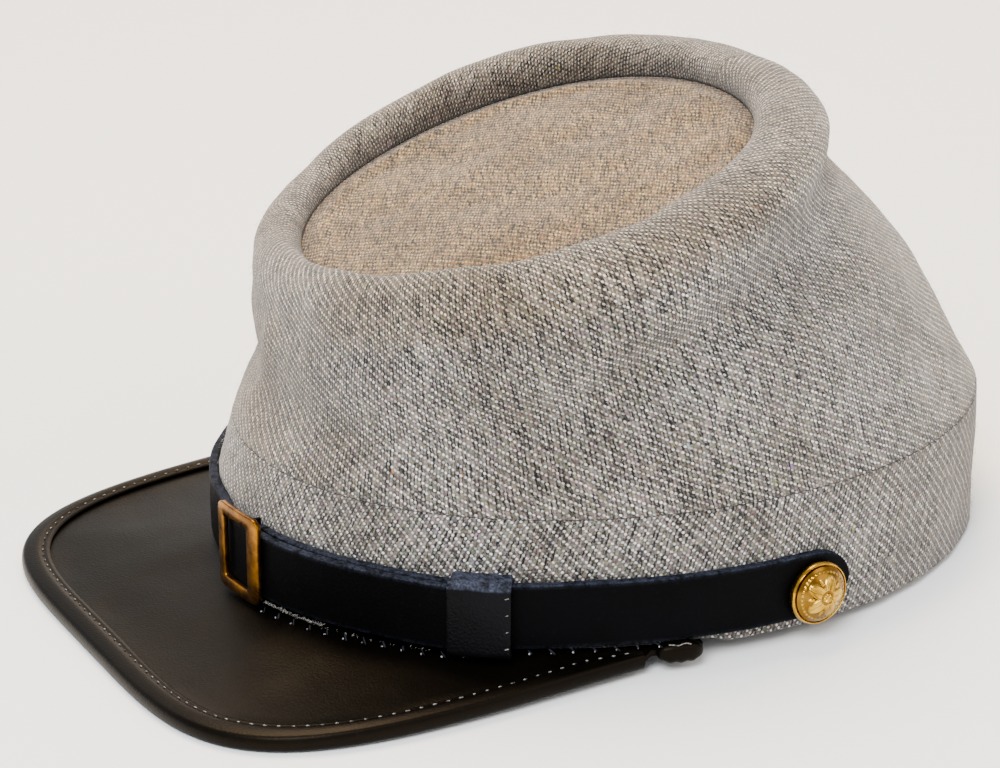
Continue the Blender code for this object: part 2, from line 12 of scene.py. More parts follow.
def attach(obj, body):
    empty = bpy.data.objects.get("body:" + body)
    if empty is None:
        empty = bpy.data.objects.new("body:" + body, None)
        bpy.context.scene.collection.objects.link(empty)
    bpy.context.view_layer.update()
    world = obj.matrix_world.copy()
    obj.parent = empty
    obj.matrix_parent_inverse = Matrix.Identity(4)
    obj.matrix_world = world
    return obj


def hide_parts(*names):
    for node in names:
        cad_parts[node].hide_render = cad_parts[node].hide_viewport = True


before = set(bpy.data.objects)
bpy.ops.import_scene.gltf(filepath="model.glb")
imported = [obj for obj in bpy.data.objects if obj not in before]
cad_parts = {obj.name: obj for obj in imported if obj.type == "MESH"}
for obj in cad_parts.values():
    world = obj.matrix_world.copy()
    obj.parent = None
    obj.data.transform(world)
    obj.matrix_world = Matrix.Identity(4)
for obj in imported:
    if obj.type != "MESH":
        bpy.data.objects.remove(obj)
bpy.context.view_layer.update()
print("frame loaded")

# the cap's own level frame, and how it stands on the floor
rest = {"tilt": -2.1264, "shift": 0.01967, "lift": 0.00378}
standing = Matrix.Translation((0, rest["shift"], rest["lift"]))
standing = standing @ Matrix.Rotation(math.radians(rest["tilt"]), 4, "X")

view = {
    "azimuth": 61.301, "elevation": 20.545, "distance": 0.750281, "lens": 106.184,
    "target": (0.00382, -0.02984, 0.04139),
}
head = {"length": 0.2054, "width": 0.1746, "square": 2.05, "egg": 0.034, "blunt": 0.033}
gap = 0.0003
half = math.pi / 2


# shapes shared by the pieces
def smooth(value):
    value = np.clip(value, 0.0, 1.0)
    return value * value * (3 - 2 * value)


def bell(value):
    return np.exp(-value * value)


def superOval(angle, halfLength, halfWidth, square):
    front = np.abs(np.cos(angle) / halfLength) ** square
    side = np.abs(np.sin(angle) / halfWidth) ** square
    radius = (front + side) ** (-1 / square)
    return np.stack((radius * np.sin(angle), -radius * np.cos(angle)), -1)


def headOval(angle):
    plan = superOval(angle, head["length"] / 2, head["width"] / 2, head["square"])
    plan[..., 0] *= 1 + head["egg"] * plan[..., 1] / (head["length"] / 2)
    plan[..., 1] *= np.where(plan[..., 1] < 0, 1 - head["blunt"], 1.0)
    return plan


def outward(angle):
    nudge = math.radians(0.05)
    along = headOval(angle + nudge) - headOval(angle - nudge)
    facing = np.stack((along[..., 1], -along[..., 0]), -1)
    return facing / np.linalg.norm(facing, axis=-1, keepdims=True)


arcAngles = np.radians(np.linspace(-190, 190, 1521))
arcSteps = np.linalg.norm(np.diff(headOval(arcAngles), axis=0), axis=1)
arcLengths = np.concatenate(([0], np.cumsum(arcSteps)))
arcLengths -= np.interp(0, arcAngles, arcLengths)


def arcAt(angle):
    return np.interp(angle, arcAngles, arcLengths)


def angleAt(arc):
    return np.interp(arc, arcLengths, arcAngles)


def join(plan, height):
    height = np.broadcast_to(height, plan.shape[:-1])
    return np.concatenate((plan, height[..., None]), -1)


# points in front of the band, which straps and metal follow upright
def onBand(arc, height, out):
    angle = angleAt(np.asarray(arc, dtype=float))
    out = np.asarray(out, dtype=float)
    return join(headOval(angle) + outward(angle) * out[..., None], height)


def noiseOf(points, size, seed=0.0):
    shift = Vector((seed * 7.31, seed * 3.17, seed * 5.91))
    flat = points.reshape(-1, 3) / size
    values = [noise.noise(Vector(p) + shift) for p in flat]
    return np.array(values).reshape(points.shape[:-1])


# evens a grid out along its second axis, where firm is 0
def laplace(rows, times, firm):
    for _ in range(times):
        middle = rows[:, 1:-1]
        even = (rows[:, :-2] + rows[:, 2:]) / 2
        rows[:, 1:-1] = middle + (even - middle) * 0.5 * (1 - firm[None, 1:-1, None])
    return rows


# a mesh in the cap's own frame, stood on the floor
def addPiece(name, points, faces, uvs=None, sharp=40):
    mesh = bpy.data.meshes.new(name)
    mesh.from_pydata(np.asarray(points).reshape(-1, 3).tolist(), [], faces)
    if uvs is not None:
        layer = mesh.uv_layers.new(name="cloth")
        layer.data.foreach_set("uv", np.asarray(uvs, dtype=np.float32).ravel())
    mesh.transform(standing)
    mesh.shade_smooth()
    if sharp:
        mesh.set_sharp_from_angle(angle=math.radians(sharp))
    piece = bpy.data.objects.new(name, mesh)
    bpy.context.scene.collection.objects.link(piece)
    return piece


def mark(piece, name, values):
    layer = piece.data.attributes.new(name, "FLOAT", "POINT")
    layer.data.foreach_set("value", np.clip(values, 0, 1).astype(np.float32).ravel())


def gridFaces(across, along, closed):
    faces = []
    for a in range(across if closed else across - 1):
        here, there = a * along, (a + 1) % across * along
        for b in range(along - 1):
            faces.append((here + b, there + b, there + b + 1, here + b + 1))
    return faces


# uv holds one more column than the grid where it closes on itself
def gridUvs(uv, closed):
    uvs = []
    along = uv.shape[1]
    for a in range(uv.shape[0] - 1):
        for b in range(along - 1):
            uvs += [uv[a, b], uv[a + 1, b], uv[a + 1, b + 1], uv[a, b + 1]]
    return np.array(uvs)


# one solid through closed sections, with its ends capped unless it closes on itself
def loft(name, rings, closed=False, sharp=40):
    rings = np.asarray(rings)
    count, size = rings.shape[:2]
    faces = []
    for r in range(count if closed else count - 1):
        here, there = r * size, (r + 1) % count * size
        for p in range(size):
            q = (p + 1) % size
            faces.append((here + p, there + p, there + q, here + q))
    if not closed:
        faces.append(tuple(range(size)))
        faces.append(tuple(range(count * size - 1, (count - 1) * size - 1, -1)))
    piece = addPiece(name, rings, faces, sharp=None)
    straighten(piece, sharp)
    return piece


# turns every face outwards
def straighten(piece, sharp=40):
    bm = bmesh.new()
    bm.from_mesh(piece.data)
    bmesh.ops.recalc_face_normals(bm, faces=bm.faces)
    bm.to_mesh(piece.data)
    bm.free()
    piece.data.shade_smooth()
    if sharp:
        piece.data.set_sharp_from_angle(angle=math.radians(sharp))


# turns what a piece's modifiers make into its plain mesh
def freeze(piece):
    graph = bpy.context.evaluated_depsgraph_get()
    mesh = bpy.data.meshes.new_from_object(piece.evaluated_get(graph), depsgraph=graph)
    piece.modifiers.clear()
    piece.data = mesh
    mesh.name = piece.name


# offsets round a leather strip with rounded edges: across from -width/2, up from 0
def rolled(width, thickness, radius, steps=4):
    corners = ((1, thickness - radius), (-1, thickness - radius), (-1, radius), (1, radius))
    offsets = []
    for c, (side, middle) in enumerate(corners):
        for s in range(steps):
            turn = half * (c + s / (steps - 1))
            offsets.append((side * (width / 2 - radius) + radius * math.cos(turn),
                            middle + radius * math.sin(turn)))
        if c == 0:  # the face between its two edges
            flat = width / 2 - radius
            offsets += [(flat * k, thickness) for k in (0.93, 0.8, 0.5, 0.17, -0.17, -0.5, -0.8, -0.93)]
    return np.array(offsets)


# node helpers
# a node with its settings and its inputs, each a value or another node's output
def put(tree, kind, inputs=(), **settings):
    node = tree.nodes.new(kind)
    for name, value in settings.items():
        setattr(node, name, value)
    for name, value in dict(inputs).items():
        if isinstance(value, bpy.types.NodeSocket):
            tree.links.new(value, node.inputs[name])
        else:
            node.inputs[name].default_value = value
    return node


def calc(tree, operation, *values, clamp=False):
    node = put(tree, "ShaderNodeMath", dict(enumerate(values)), operation=operation)
    node.use_clamp = clamp
    return node.outputs[0]


def calcVector(tree, operation, *values):
    node = put(tree, "ShaderNodeVectorMath", operation=operation)
    for socket, value in zip(node.inputs, values):
        if isinstance(value, bpy.types.NodeSocket):
            tree.links.new(value, socket)
        else:
            socket.default_value = value
    return node.outputs[1 if operation in ("LENGTH", "DOT_PRODUCT") else 0]


# maps a value from one range to another
def spread(tree, value, low, high, newLow=0.0, newHigh=1.0, soft=True):
    node = put(tree, "ShaderNodeMapRange",
               {"Value": value, "From Min": low, "From Max": high, "To Min": newLow, "To Max": newHigh})
    node.interpolation_type = "SMOOTHSTEP" if soft else "LINEAR"
    return node.outputs["Result"]


def mixed(tree, share, first, second, blend="MIX"):
    node = put(tree, "ShaderNodeMix", data_type="RGBA", blend_type=blend)
    for place, value in ((0, share), (6, first), (7, second)):
        if isinstance(value, bpy.types.NodeSocket):
            tree.links.new(value, node.inputs[place])
        else:
            value = (*value, 1) if place and len(value) == 3 else value
            node.inputs[place].default_value = value
    return node.outputs[2]


def cloudy(tree, place, size, detail=2.0, rough=0.5, colour=False):
    node = put(tree, "ShaderNodeTexNoise",
               {"Vector": place, "Scale": size, "Detail": detail, "Roughness": rough})
    return node.outputs["Color" if colour else "Fac"]


# a colour given as it looks on a screen, 0 to 255
def colourOf(red, green, blue):
    def linear(value):
        value /= 255
        return value / 12.92 if value < 0.04045 else ((value + 0.055) / 1.055) ** 2.4
    return (linear(red), linear(green), linear(blue))


# a Principled material whose plain values are set on its own sockets
def newMaterial(name, shade):
    material = bpy.data.materials.new(name)
    material.use_nodes = True
    tree = material.node_tree
    shader = tree.nodes["Principled BSDF"]
    for socket, value in shade.items():
        shader.inputs[socket].default_value = value
    return material, tree, shader


def addBump(tree, shader, height, strength, distance):
    bump = put(tree, "ShaderNodeBump", {"Height": height, "Strength": strength, "Distance": distance})
    tree.links.new(bump.outputs[0], shader.inputs["Normal"])


# cloth
tweed = {
    "step": (0.944, -0.545), "climb": (0.308, 1.987),  # mm from knot to knot, and from row to row
    "knot": (0.42, 0.40), "float": (0.25, 0.62), "jitter": 0.13, "wander": 1.1,
    "pale": (244, 244, 246), "dark": (10, 9, 8), "middle": (114, 107, 99), "streak": (152, 148, 143),
    "link": 0.0, "relief": 0.7, "blotch": (0.52, 1.34), "nap": 0.72, "tint": 0.40,
}


# twill of pale knots over a mixed ground, laid out on the piece's UV map in metres
def tweedMaterial(name, change):
    want = {**tweed, **change}
    material, tree, shader = newMaterial(
        name, {"Roughness": 0.92, "Sheen Weight": 0.25, "Sheen Roughness": 0.5,
               "Specular IOR Level": 0.15})
    uv = put(tree, "ShaderNodeUVMap", uv_map="cloth").outputs[0]
    flat = calcVector(tree, "MULTIPLY", uv, (1000, 1000, 0))
    wander = cloudy(tree, flat, 0.09, 3, 0.6, colour=True)
    wander = calcVector(tree, "SUBTRACT", wander, (0.5, 0.5, 0.5))
    place = calcVector(tree, "ADD", flat, calcVector(tree, "MULTIPLY", wander, (want["wander"], want["wander"], 0)))
    x, y = put(tree, "ShaderNodeSeparateXYZ", {0: place}).outputs[:2]
    (ax, ay), (bx, by) = want["step"], want["climb"]
    area = ax * by - ay * bx
    a = calc(tree, "ADD", calc(tree, "MULTIPLY", x, by / area), calc(tree, "MULTIPLY", y, -bx / area))
    b = calc(tree, "ADD", calc(tree, "MULTIPLY", x, -ay / area), calc(tree, "MULTIPLY", y, ax / area))
    cellA = calc(tree, "FLOOR", calc(tree, "ADD", a, 0.5))
    cellB = calc(tree, "FLOOR", calc(tree, "ADD", b, 0.5))
    offA, offB = calc(tree, "SUBTRACT", a, cellA), calc(tree, "SUBTRACT", b, cellB)
    dx = calc(tree, "ADD", calc(tree, "MULTIPLY", offA, ax), calc(tree, "MULTIPLY", offB, bx))
    dy = calc(tree, "ADD", calc(tree, "MULTIPLY", offA, ay), calc(tree, "MULTIPLY", offB, by))
    cell = put(tree, "ShaderNodeCombineXYZ", {0: cellA, 1: cellB}).outputs[0]
    chance = put(tree, "ShaderNodeTexWhiteNoise", {"Vector": cell}).outputs["Color"]
    red, green, blue = put(tree, "ShaderNodeSeparateColor", {0: chance}).outputs[:3]
    dx = calc(tree, "ADD", dx, calc(tree, "MULTIPLY_ADD", red, want["jitter"] * 2, -want["jitter"]))
    dy = calc(tree, "ADD", dy, calc(tree, "MULTIPLY_ADD", green, want["jitter"] * 2, -want["jitter"]))
    farX = calc(tree, "POWER", calc(tree, "DIVIDE", dx, want["knot"][0]), 2)
    farY = calc(tree, "POWER", calc(tree, "DIVIDE", dy, want["knot"][1]), 2)
    knot = spread(tree, calc(tree, "ADD", farX, farY), 1.25, 0.05)
    # the threads' floats, which run upright from one row of knots to the next
    column = calc(tree, "MULTIPLY_ADD", dy, -bx / by, dx)
    between = calc(tree, "SUBTRACT", calc(tree, "ABSOLUTE", dy), by / 2)
    wide = calc(tree, "POWER", calc(tree, "DIVIDE", column, want["float"][0]), 2)
    tall = calc(tree, "POWER", calc(tree, "DIVIDE", between, want["float"][1]), 2)
    streak = spread(tree, calc(tree, "ADD", wide, tall), 1.2, 0.1)
    # the thin pale threads that join the knots of one row
    offRow = calc(tree, "ABSOLUTE", calc(tree, "MULTIPLY", offB, area / math.hypot(ax, ay)))
    link = spread(tree, offRow, 0.30, 0.05)
    # the ground between: warp threads, each with a tone of its own along its length
    thread = put(tree, "ShaderNodeCombineXYZ", {
        0: calc(tree, "FLOOR", calc(tree, "MULTIPLY", x, 2 / ax)),
        1: calc(tree, "FLOOR", calc(tree, "MULTIPLY", y, 0.28))}).outputs[0]
    threadTone = put(tree, "ShaderNodeTexWhiteNoise", {"Vector": thread}).outputs["Value"]
    stretched = calcVector(tree, "MULTIPLY", place, (1.0, 0.45, 1.0))
    fibre = cloudy(tree, stretched, 2.6, 3, 0.7)
    mottle = cloudy(tree, flat, 0.75, 3, 0.65)
    ground = calc(tree, "ADD", calc(tree, "MULTIPLY", fibre, 0.9), calc(tree, "MULTIPLY", mottle, 0.75))
    ground = calc(tree, "ADD", ground, calc(tree, "MULTIPLY_ADD", threadTone, 0.30, -0.15))
    ground = spread(tree, ground, 0.68, 1.00, soft=False)
    colour = mixed(tree, ground, colourOf(*want["dark"]), colourOf(*want["middle"]))
    tint = cloudy(tree, calcVector(tree, "ADD", flat, (40, 90, 0)), 0.55, 2, 0.5, colour=True)
    colour = mixed(tree, want["tint"], colour, tint, "SOFT_LIGHT")
    paleTone = calc(tree, "ADD", calc(tree, "MULTIPLY_ADD", blue, 0.50, 0.30),
                    calc(tree, "MULTIPLY_ADD", fibre, 0.90, -0.30), clamp=True)
    nap = spread(tree, cloudy(tree, flat, 0.28, 3, 0.65), 0.34, 0.56, want["nap"], 1.0)
    paleTone = calc(tree, "MULTIPLY", paleTone, nap)
    streakTone = calc(tree, "MULTIPLY", streak, calc(tree, "MULTIPLY_ADD", red, 0.85, -0.12), clamp=True)
    colour = mixed(tree, streakTone, colour, colourOf(*want["streak"]))
    linkShare = calc(tree, "MULTIPLY", link, calc(tree, "MULTIPLY_ADD", fibre, 0.9, want["link"] - 0.45),
                     clamp=True)
    pale = colourOf(*want["pale"])
    colour = mixed(tree, linkShare, colour, pale)
    colour = mixed(tree, calc(tree, "MULTIPLY", knot, paleTone), colour, pale)
    # blotches of darker and paler yarn, broad patches of tone, and stray coloured neps
    blotch = spread(tree, cloudy(tree, stretched, 0.42, 3, 0.7), 0.30, 0.70, *want["blotch"], soft=False)
    colour = mixed(tree, 1.0, colour, blotch, "MULTIPLY")
    patch = cloudy(tree, flat, 0.035, 3, 0.6)
    colour = mixed(tree, 1.0, colour, mixed(tree, spread(tree, patch, 0.3, 0.7), (0.74, 0.71, 0.67),
                                          (1.12, 1.13, 1.15)), "MULTIPLY")
    nep = put(tree, "ShaderNodeTexVoronoi", {"Vector": stretched, "Scale": 0.16, "Randomness": 1.0})
    speck = spread(tree, nep.outputs["Distance"], 0.075, 0.045)
    nepHue = mixed(tree, 0.5, nep.outputs["Color"], colourOf(170, 110, 60))
    colour = mixed(tree, calc(tree, "MULTIPLY", speck, 0.45), colour, nepHue)
    # painted light and shade: a tan tint where the warm light falls and on brown shaded walls, painted shade in the
    # creases, and a painted near-black shadow under the strap along the peak's seam
    for place, tone in (("tanLightAndShade", (1.06, 0.90, 0.70)), ("shade", (0.46, 0.42, 0.39)), ("strapShadow", (0.02, 0.02, 0.02))):
        share = put(tree, "ShaderNodeAttribute", attribute_name=place).outputs["Fac"]
        colour = mixed(tree, share, colour, mixed(tree, 1.0, colour, tone, "MULTIPLY"))
    # a cast, where given, tints the whole piece; on the top it is painted warm light
    if "cast" in want:
        colour = mixed(tree, 1.0, colour, want["cast"], "MULTIPLY")
    tree.links.new(colour, shader.inputs["Base Color"])
    height = calc(tree, "ADD", calc(tree, "MULTIPLY", knot, 0.8), calc(tree, "MULTIPLY", link, 0.25))
    height = calc(tree, "ADD", height, calc(tree, "MULTIPLY", streak, 0.35))
    height = calc(tree, "ADD", height, calc(tree, "MULTIPLY", fibre, 0.7))
    addBump(tree, shader, height, want["relief"], 0.0004)
    return material


crown = {
    "columns": 340, "wallRows": 66, "rollRows": 18, "innerRows": 12, "cloth": 0.0018,
    "tuck": 0.0060, "overhang": 0.0003, "creaseDepth": 0.0070,
    "topForward": 0.0165, "topHeight": 0.0890, "topTilt": 16.7,
    "topLength": 0.1496, "topWidth": 0.1450, "discLength": 0.1180, "discWidth": 0.1100,
    "discForward": 0.0024, "discLevel": 0.0042, "rimRise": 0.0112, "rimInner": 0.0042,
    "grainTurn": 0.08, "grainMiddle": 70, "grainBend": 10, "grainBack": 0.27, "rimTurn": 42,
}
sections = (
    # angle, height, depth, spread, fullness, rim
    (-180, 0.84, 1.00, 0.18, 0.10, 1.00),
    (-150, 0.84, 0.90, 0.16, 0.10, 1.15),
    (-120, 0.78, 0.70, 0.16, 0.15, 1.35),
    (-90, 0.62, 0.60, 0.18, 0.15, 1.25),
    (-60, 0.50, 0.60, 0.22, 0.10, 0.90),
    (-30, 0.46, 0.62, 0.24, 0.00, 0.90),
    (0, 0.46, 0.45, 0.24, 0.00, 1.06),
    (30, 0.40, 0.30, 0.20, 0.05, 1.32),
    (50, 0.39, 0.50, 0.16, 0.10, 1.32),
    (70, 0.55, 0.75, 0.16, 0.15, 1.08),
    (90, 0.70, 0.80, 0.15, 0.15, 1.00),
    (110, 0.80, 0.90, 0.15, 0.10, 1.00),
    (130, 0.84, 1.10, 0.17, 0.05, 1.00),
    (150, 0.84, 1.10, 0.20, 0.05, 1.00),
)
# folds follow lines of (angle, share of the wall), each with a depth and a width in metres
folds = (
    (0.0024, 0.0046, ((46, 0.34), (51, 0.38), (59, 0.45), (67, 0.53), (75, 0.60), (81, 0.64), (88, 0.69),
                      (96, 0.73), (105, 0.79), (116, 0.84), (128, 0.88))),
    (0.0008, 0.0060, ((22, 0.93), (32, 0.94), (44, 0.94), (58, 0.93))),
    (0.0008, 0.0080, ((90, 0.42), (98, 0.41), (108, 0.41))),
    (0.0014, 0.0060, ((131, 0.05), (134, 0.18), (136, 0.30), (133, 0.44))),
    (-0.0010, 0.0050, ((-10, 0.20), (-6, 0.40), (-3, 0.60))),
    (0.0012, 0.0060, ((-40, 0.30), (-58, 0.44), (-78, 0.56), (-100, 0.70))),
    (0.0012, 0.0070, ((-125, 0.30), (-138, 0.46), (-156, 0.60))),
    (0.0010, 0.0070, ((160, 0.30), (172, 0.42), (188, 0.50))),
)
bandSize = {"front": 0.0325, "back": 0.0360, "wall": 0.0030, "upright": 0.0205, "lean": 0.0038}
topFrame = np.array(Matrix.Translation((0, -crown["topForward"], crown["topHeight"]))
                    @ Matrix.Rotation(math.radians(crown["topTilt"]), 4, "X"))


def bandTop(angle):
    middle = (bandSize["front"] + bandSize["back"]) / 2
    return middle - (bandSize["back"] - bandSize["front"]) / 2 * np.cos(angle)


def bandFace(angle, height, out=0.0):
    front = ((1 + np.cos(angle)) / 2) ** 2
    share = np.maximum(0, (height - bandSize["upright"]) / (bandTop(angle) - bandSize["upright"]))
    move = out - bandSize["lean"] * front * share
    return join(headOval(angle) + outward(angle) * np.broadcast_to(move, angle.shape)[..., None], height)


def onTop(plan, height):
    flat = join(plan, height)
    return flat @ topFrame[:3, :3].T + topFrame[:3, 3]


def shoulder(angle):
    return superOval(angle, crown["topLength"] / 2, crown["topWidth"] / 2, 2.1)


def discEdge(angle, grow=0.0):
    edge = superOval(angle, crown["discLength"] / 2 + grow, crown["discWidth"] / 2 + grow, 2.1)
    edge[..., 1] -= crown["discForward"]
    return edge


# one column of the table, evened out round the cap
def sectionAt(angle, column):
    rows = np.array(sections)
    grid = np.arange(-180, 180, 1.0)
    values = np.interp(grid, rows[:, 0], rows[:, column], period=360)
    weights = bell(np.arange(-24, 25) / 11.0)
    padded = np.concatenate((values[-24:], values, values[:24]))
    even = np.convolve(padded, weights / weights.sum(), "valid")
    return np.interp(np.degrees(angle), grid, even, period=360)


# how far the folds draw the cloth in
def foldDepth(angle, share, wallLength):
    x, y = arcAt(angle), share * wallLength
    total = np.zeros_like(x)
    loop = arcLengths[-1] - arcLengths[0]
    for depth, width, line in folds:
        turns = np.radians([a for a, _ in line])
        px = arcAt(turns[0]) + np.concatenate(([0], np.cumsum(np.diff(np.interp(
            turns, arcAngles, arcLengths)))))
        py = np.array([s for _, s in line]) * float(np.mean(wallLength))
        nearest = np.full(x.shape, 1e9)
        along = np.zeros_like(x)
        for wrap in (0.0, 1.0, -1.0):
            shifted = x + wrap * arcAt(math.pi) * 2
            for k in range(len(px) - 1):
                ex, ey = px[k + 1] - px[k], py[k + 1] - py[k]
                t = np.clip(((shifted - px[k]) * ex + (y - py[k]) * ey) / (ex * ex + ey * ey), 0, 1)
                distance = np.hypot(shifted - px[k] - t * ex, y - py[k] - t * ey)
                closer = distance < nearest
                nearest = np.where(closer, distance, nearest)
                along = np.where(closer, (k + t) / (len(px) - 1), along)
        ends = smooth(along / 0.18) * smooth((1 - along) / 0.18)
        total += depth * bell(nearest / width) * (0.25 + 0.75 * ends)
    return total


# the crown's outer face, from inside the band over the rim to the disc
def crownGrid(angle):
    top = bandTop(angle)
    inside = -bandSize["wall"] - gap
    columns = [bandFace(angle, top - crown["tuck"], inside), bandFace(angle, top - 0.003, inside),
               bandFace(angle, top + 0.0001, inside), bandFace(angle, top + 0.0002, -0.0012)]
    start = bandFace(angle, top + 0.00025, -0.0001)
    end = onTop(shoulder(angle), 0)
    wall = np.linalg.norm(end - start, axis=-1)
    facing = join(outward(angle), 0.0)
    height, depth, width, fullness = (sectionAt(angle, c) for c in (1, 2, 3, 4))
    for share in np.linspace(0, 1, crown["wallRows"]):
        point = start + (end - start) * share
        fade = smooth(share / 0.12) * smooth((1 - share) / 0.07)
        swell = fullness * np.sin(math.pi * share) - depth * bell((share - height) / width)
        fold = foldDepth(angle, np.full_like(angle, share), wall) * smooth(share / 0.08)
        point = point + facing * (crown["creaseDepth"] * swell * fade - fold)[:, None]
        columns.append(point)
    rise = crown["rimRise"] * sectionAt(angle, 5)
    crest = discEdge(angle, crown["rimInner"])
    across = shoulder(angle) - crest
    for turn in np.linspace(0, half, crown["rollRows"] + 1)[1:]:
        columns.append(onTop(crest + across * math.cos(turn), rise * math.sin(turn)))
    inward = discEdge(angle, -0.0002) - crest
    for turn in np.linspace(0, half, crown["innerRows"] + 1)[1:]:
        level = crown["discLevel"] + 0.0002
        columns.append(onTop(crest + inward * math.sin(turn), level + (rise - level) * math.cos(turn)))
    return np.stack(columns, 1)


def makeCrown():
    turns = np.linspace(-math.pi, math.pi, crown["columns"] + 1)
    grid = crownGrid(turns[:-1])
    rows = grid.shape[1]
    firm = np.zeros(rows)
    firm[:8] = 1
    firm[-4:] = 1
    grid = laplace(grid, 14, firm)
    # soft unevenness of the cloth, fading out at the seams
    normal = np.cross(np.roll(grid, -1, 0) - np.roll(grid, 1, 0), np.gradient(grid, axis=1))
    normal /= np.linalg.norm(normal, axis=-1, keepdims=True)
    uneven = noiseOf(grid, 0.022, 1) * 0.0008 + noiseOf(grid, 0.009, 2) * 0.00030
    uneven += noiseOf(grid, 0.0035, 3) * 0.00010
    place = np.arange(rows)
    keep = smooth((place - 5) / 6) * smooth((rows - 3 - place) / 4)
    grid += normal * (uneven * keep[None, :])[..., None]
    # the cloth's own layout: a flat fan, with its seam at the back
    length = np.cumsum(np.linalg.norm(np.diff(grid, axis=1, prepend=grid[:, :1]), axis=-1), axis=1)
    length -= length[:, 4:5]
    weights = bell(np.arange(-20, 21) / 9.0)
    around = np.concatenate((length[-20:], length, length[:20]))
    length = np.stack([np.convolve(row, weights / weights.sum(), "valid") for row in around.T], 1)
    length = np.concatenate((length, length[:1]))
    # the grain turns slowly round the side, and back again beyond the front
    degrees = np.degrees(turns)
    grain = crown["grainTurn"] * (degrees - crown["grainMiddle"])
    beyond = np.maximum(0, crown["grainBend"] - degrees)
    grain = np.radians(grain + (crown["grainTurn"] + crown["grainBack"]) * beyond)
    step = np.diff(arcAt(turns), prepend=arcAt(turns[0]))
    foot = np.stack((np.cumsum(step * np.cos(grain)), np.cumsum(step * np.sin(grain))), -1)
    upWall = np.stack((-np.sin(grain), np.cos(grain)), -1)
    uv = foot[:, None] + upWall[:, None] * length[..., None]
    faces = gridFaces(crown["columns"], rows, True)
    # on the far rim the grain is turned further, about the rim's crest
    crest = 4 + crown["wallRows"] + crown["rollRows"] - 1
    extra = smooth((-8 - degrees) / 40) * smooth((degrees + 178) / 30) * math.radians(crown["rimTurn"])
    cos, sin = np.cos(extra), np.sin(extra)

    def turned(vectors, cos, sin):
        return np.stack((vectors[..., 0] * cos - vectors[..., 1] * sin,
                         vectors[..., 0] * sin + vectors[..., 1] * cos), -1)

    steps = turned(np.diff(uv[:, crest], axis=0), cos[1:], sin[1:])
    ridge = np.concatenate((np.zeros((1, 2)), np.cumsum(steps, axis=0)))
    ridge += uv[-1, crest] - ridge[-1]
    rimUv = ridge[:, None] + turned(uv - uv[:, crest:crest + 1], cos[:, None], sin[:, None])
    shape = (crown["columns"], rows - 1, 4, 2)
    onRimFace = (np.arange(rows - 1) >= 3 + crown["wallRows"])[None, :, None, None]
    uvs = np.where(onRimFace, gridUvs(rimUv, True).reshape(shape), gridUvs(uv, True).reshape(shape))
    outside = grid[:, 6:-4].copy()
    piece = addPiece("crownCloth", grid, faces, uvs, sharp=None)
    wallEnd = 4 + crown["wallRows"]
    around = degrees[:-1, None]
    # painted light and shade: a tan tint on the rim, stronger on the far rim, and on the walls, most at the front-left
    # and rear, where warm light and brown shade fall
    onRim = smooth((place - wallEnd + 6) / 10)[None]
    front = bell((around + 14) / 26)
    rear = smooth((around - 112) / 40)
    farSide = smooth((around + 175) / 30) * smooth((-4 - around) / 30)
    outerRim = onRim * smooth((wallEnd + crown["rollRows"] + 2 - place) / 8)[None]
    mark(piece, "tanLightAndShade", 0.7 * onRim + 0.3 * outerRim * farSide
         + (1 - onRim) * (0.9 * front + 0.5 * rear + 0.12))
    # painted shade: darker in the crease by the disc, a little on the far-left inner wall, and on the front-left wall
    inside = smooth((place - wallEnd - crown["rollRows"]) / 8)[None]
    farLeft = smooth((around + 165) / 30) * smooth((-10 - around) / 30)
    seam = smooth((place - rows + 10) / 8)[None]
    mark(piece, "shade", 0.9 * seam + 0.04 * inside * farLeft + 0.28 * front * (1 - onRim))
    solid = piece.modifiers.new("wall", "SOLIDIFY")
    solid.thickness = crown["cloth"]
    solid.offset = -1
    piece.data.materials.append(tweedMaterial("crownTweed", {}))
    freeze(piece)
    return piece, outside


crownCloth, crownOutside = makeCrown()
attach(crownCloth, "root")
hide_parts("crown_side")
print("crown made")

disc = {"rings": 46, "columns": 150, "tuck": 0.0020, "dome": 0.0020, "cloth": 0.0016, "finer": 1.18}


